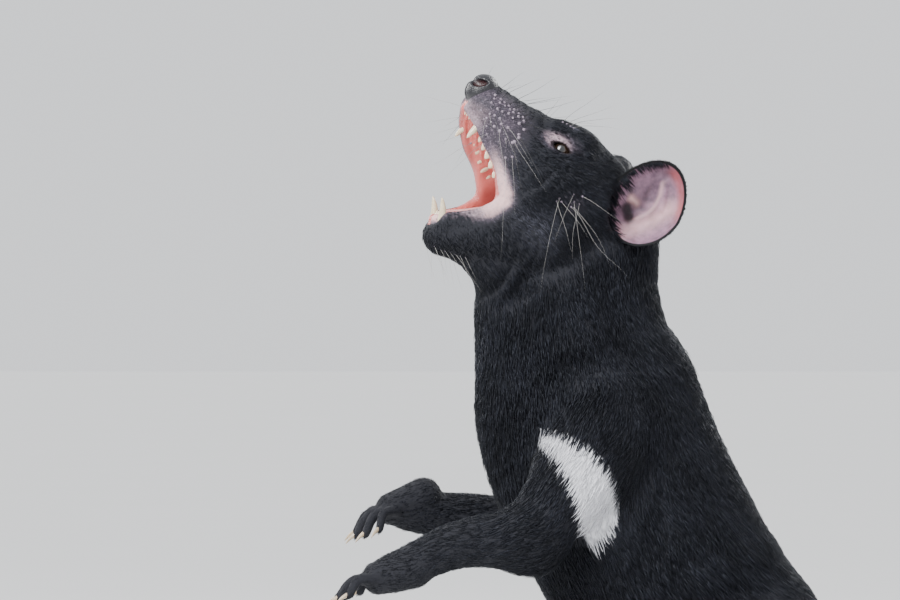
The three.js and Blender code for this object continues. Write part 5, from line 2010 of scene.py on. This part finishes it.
@dataclass
class Whiskers:
    """The bristles of the muzzle, brow, cheek and chin, and the small bumps that they grow from."""

    skin: Skin
    finishes: Finishes
    radius: float = 0.17
    rows: int = 5
    columns: int = 7

    def pad(self, side: int, rng: np.random.Generator) -> list[Bristle]:
        """The rows of the muzzle on one side."""
        made = []
        for row in range(self.rows):
            for k in range(self.columns):
                jitter = rng.uniform(-0.7, 0.7, 2)
                back = 19 + 4.4 * k + 1.2 * row + jitter[0]
                place = (back, side * (16 + 0.6 * k), 4 - 4 * row - 0.7 * k + jitter[1])
                way = (-0.1 + 0.12 * k, side * 0.8, 0.9 - 0.42 * row)
                pale = 0.0 if row < 3 else rng.choice([0.05, 0.55])
                length = rng.uniform(8, 16) if (row + k) % 3 == 2 else rng.uniform(33, 48) + 3 * k
                made.append(Bristle(place, way, length, pale, rng.uniform(1.0, 1.75)))
        return made

    def others(self, side: int, rng: np.random.Generator) -> list[Bristle]:
        """The bristles of the cheek, brow and chin on one side."""
        made = []
        for k in range(9):
            turn = math.radians(-5 + 12.5 * k)
            place = (105 + rng.uniform(-10, 10), side * 48, -36 + rng.uniform(-8, 8))
            way = (math.cos(turn), side * rng.uniform(0.25, 0.45), -math.sin(turn))
            length = rng.uniform(70, 95) if k % 3 == 1 else rng.uniform(38, 62)
            made.append(Bristle(place, way, length, 0.55, 1.0, rng.uniform(-0.25, 0.25), 0.25))
        for k in range(4):
            place = (76 + 3 * k, side * (24 + k), 16)
            way = (0.1 + 0.3 * k, side * 0.3, 0.8)
            made.append(Bristle(place, way, rng.uniform(34, 50), 0.15, 0.9))
        for k in range(7):
            place = (44 + 4 * k, side * (9 + 1.5 * k), -118)
            made.append(Bristle(place, (0.8, side * 0.5, -0.3), rng.uniform(22, 45), 0.5, 0.5))
        made.append(Bristle((50, side * 27, -33), (0.5, side * 0.3, -0.85), 98, 0.7, 1.2, 0.04, 0.12))
        made.append(Bristle((55, side * 27, -30), (0.62, side * 0.25, -0.8), 52, 0.7, 1.2, 0.1, 0.15))
        for k in range(5):
            place = (17 + 5 * k, side * 16, -10 - 3.5 * k)
            way = (-0.75 + 0.06 * k, side * 0.6, -0.05 - 0.22 * k)
            made.append(Bristle(place, way, rng.uniform(38, 60), 0.3, 1.0, 0.1, 0.3))
        return made

    def build(self) -> None:
        """Makes the whiskers and the bumps."""
        rng = np.random.default_rng(SEED + 1)
        planned = []
        for side in SIDES:
            planned += self.pad(side, rng) + self.others(side, rng)
        flesh = self.skin.flesh
        roots = flesh.settled(HEAD.out([bristle.place for bristle in planned]), passes=8, most=4)
        normals = unit(flesh.gradient(roots))
        bristles, bumps = Heap(), Heap()
        for bristle, root, normal in zip(planned, roots, normals):
            bumps.add(dome(root, normal, bristle.bump, 0.65 * bristle.bump))
            ahead = unit(unit(HEAD.way(bristle.way)) + normal * 0.3 + rng.normal(0, 0.08, 3))
            bend = HEAD.way((0.6, 0, -0.5)) + rng.normal(0, 0.2, 3)
            radius = self.radius * (1.25 - 1.05 * bristle.pale)
            curl = bristle.curl * rng.uniform(0.4, 1.6)
            rings = 10 + int(bristle.length / 5)
            shape = strand(root, ahead, bend, bristle.length, radius, curl, rings, 4, 0.85, bristle.wave)
            bristles.add(shape, bristle.pale)
        bristles.piece("whiskers").build(self.finishes.whisker(), "coat")
        bumps.piece("whisker_roots").build(self.finishes.bumps(), "bare_skin")


@dataclass
class Claws:
    """The horn claws of all four feet."""

    skin: Skin
    finishes: Finishes
    length: float = 14.5
    radius: float = 2.6
    curl: float = 0.6

    def build(self) -> None:
        """Makes the claws of each foot as one piece."""
        horn = self.finishes.claw()
        for name, claws in self.skin.claws.items():
            heap = Heap()
            for start, ahead, down in claws:
                shape = strand(start, ahead, down, self.length, self.radius * 0.96, self.curl, 10, 12)
                shape[0][:, 2] = np.maximum(shape[0][:, 2], self.skin.floor_gap)
                heap.add(shape)
            heap.piece(f"claws_{name}").build(horn, "claw")


@dataclass
class Studio:
    """The floor, the soft lights and the camera at the photograph's viewing angle."""

    finishes: Finishes
    aim: Point = (-168.0, 0.0, 400.0)
    away: float = 5000.0
    lens: float = 250.0
    floor_half: float = 30.0
    sky: Point = (0.88, 0.9, 0.93)
    sky_strength: float = 1.25
    sun_power: float = 1.6
    sun_tilt: tuple[float, float] = (35.0, -20.0)

    def place(self, name: str, data: bpy.types.ID) -> bpy.types.Object:
        """Puts an object with the given data in the scene."""
        placed = bpy.data.objects.new(name, data)
        bpy.context.scene.collection.objects.link(placed)
        return placed

    def build(self) -> None:
        """Makes the floor, the lights and the camera."""
        mesh = bpy.data.meshes.new("floor")
        corners = np.array([(-1, -1, 0), (1, -1, 0), (1, 1, 0), (-1, 1, 0)]) * self.floor_half
        mesh.from_pydata(corners.tolist(), [], [(0, 1, 2, 3)])
        mesh.materials.append(self.finishes.floor())
        floor = self.place("floor", mesh)
        world = bpy.data.worlds.new("studio")
        world.use_nodes = True
        sky = world.node_tree.nodes["Background"].inputs
        sky["Color"].default_value = (*self.sky, 1)
        sky["Strength"].default_value = self.sky_strength
        bpy.context.scene.world = world
        self.light("key", (-1.1, -1.7, 1.9), 1.0, 75)
        self.light("rim", (1.2, 1.5, 1.6), 1.0, 36)
        self.light("rim_left", (-1.6, 1.1, 1.3), 0.8, 24)
        sun = bpy.data.lights.new("sun", "SUN")
        sun.energy = self.sun_power
        sun.angle = math.radians(35)
        self.place("sun", sun).rotation_euler = (*np.radians(self.sun_tilt), 0)
        camera = bpy.data.cameras.new("camera")
        camera.lens = self.lens
        camera.clip_end = 200
        holder = self.place("camera", camera)
        place = to_metres(np.array([self.aim[0], -self.away, self.aim[2]]))
        holder.location = (place[0], -self.away * MM, place[2])
        holder.rotation_euler = (math.pi / 2, 0, 0)
        bpy.context.scene.camera = holder

    def light(self, name: str, place: Point, size: float, power: float) -> None:
        """Adds a square soft light that faces the head."""
        lamp = bpy.data.lights.new(name, "AREA")
        lamp.size = size
        lamp.energy = power
        holder = self.place(name, lamp)
        holder.location = place
        holder.rotation_euler = (Vector((-0.1, 0, 0.4)) - Vector(place)).to_track_quat("-Z", "Y").to_euler()


def main() -> None:
    """Builds the animal, its coat and features, and the studio round it."""
    logging.basicConfig(level=logging.INFO, format="%(relativeCreated)d %(message)s")
    finishes = Finishes()
    skin = Skin(Body(), finishes)
    skin.build()
    Coat(skin, finishes).build()
    ear = Ear()
    leather = finishes.ear()
    for side, name in SIDES.items():
        ear.mesh(side).build(leather, "bare_skin", [f"ear_{name}"])
    Nose(finishes).build()
    Mouth(finishes).build()
    Eyeballs(finishes).build()
    Whiskers(skin, finishes).build()
    Claws(skin, finishes).build()
    Studio(finishes).build()


if __name__ == "__main__":
    main()
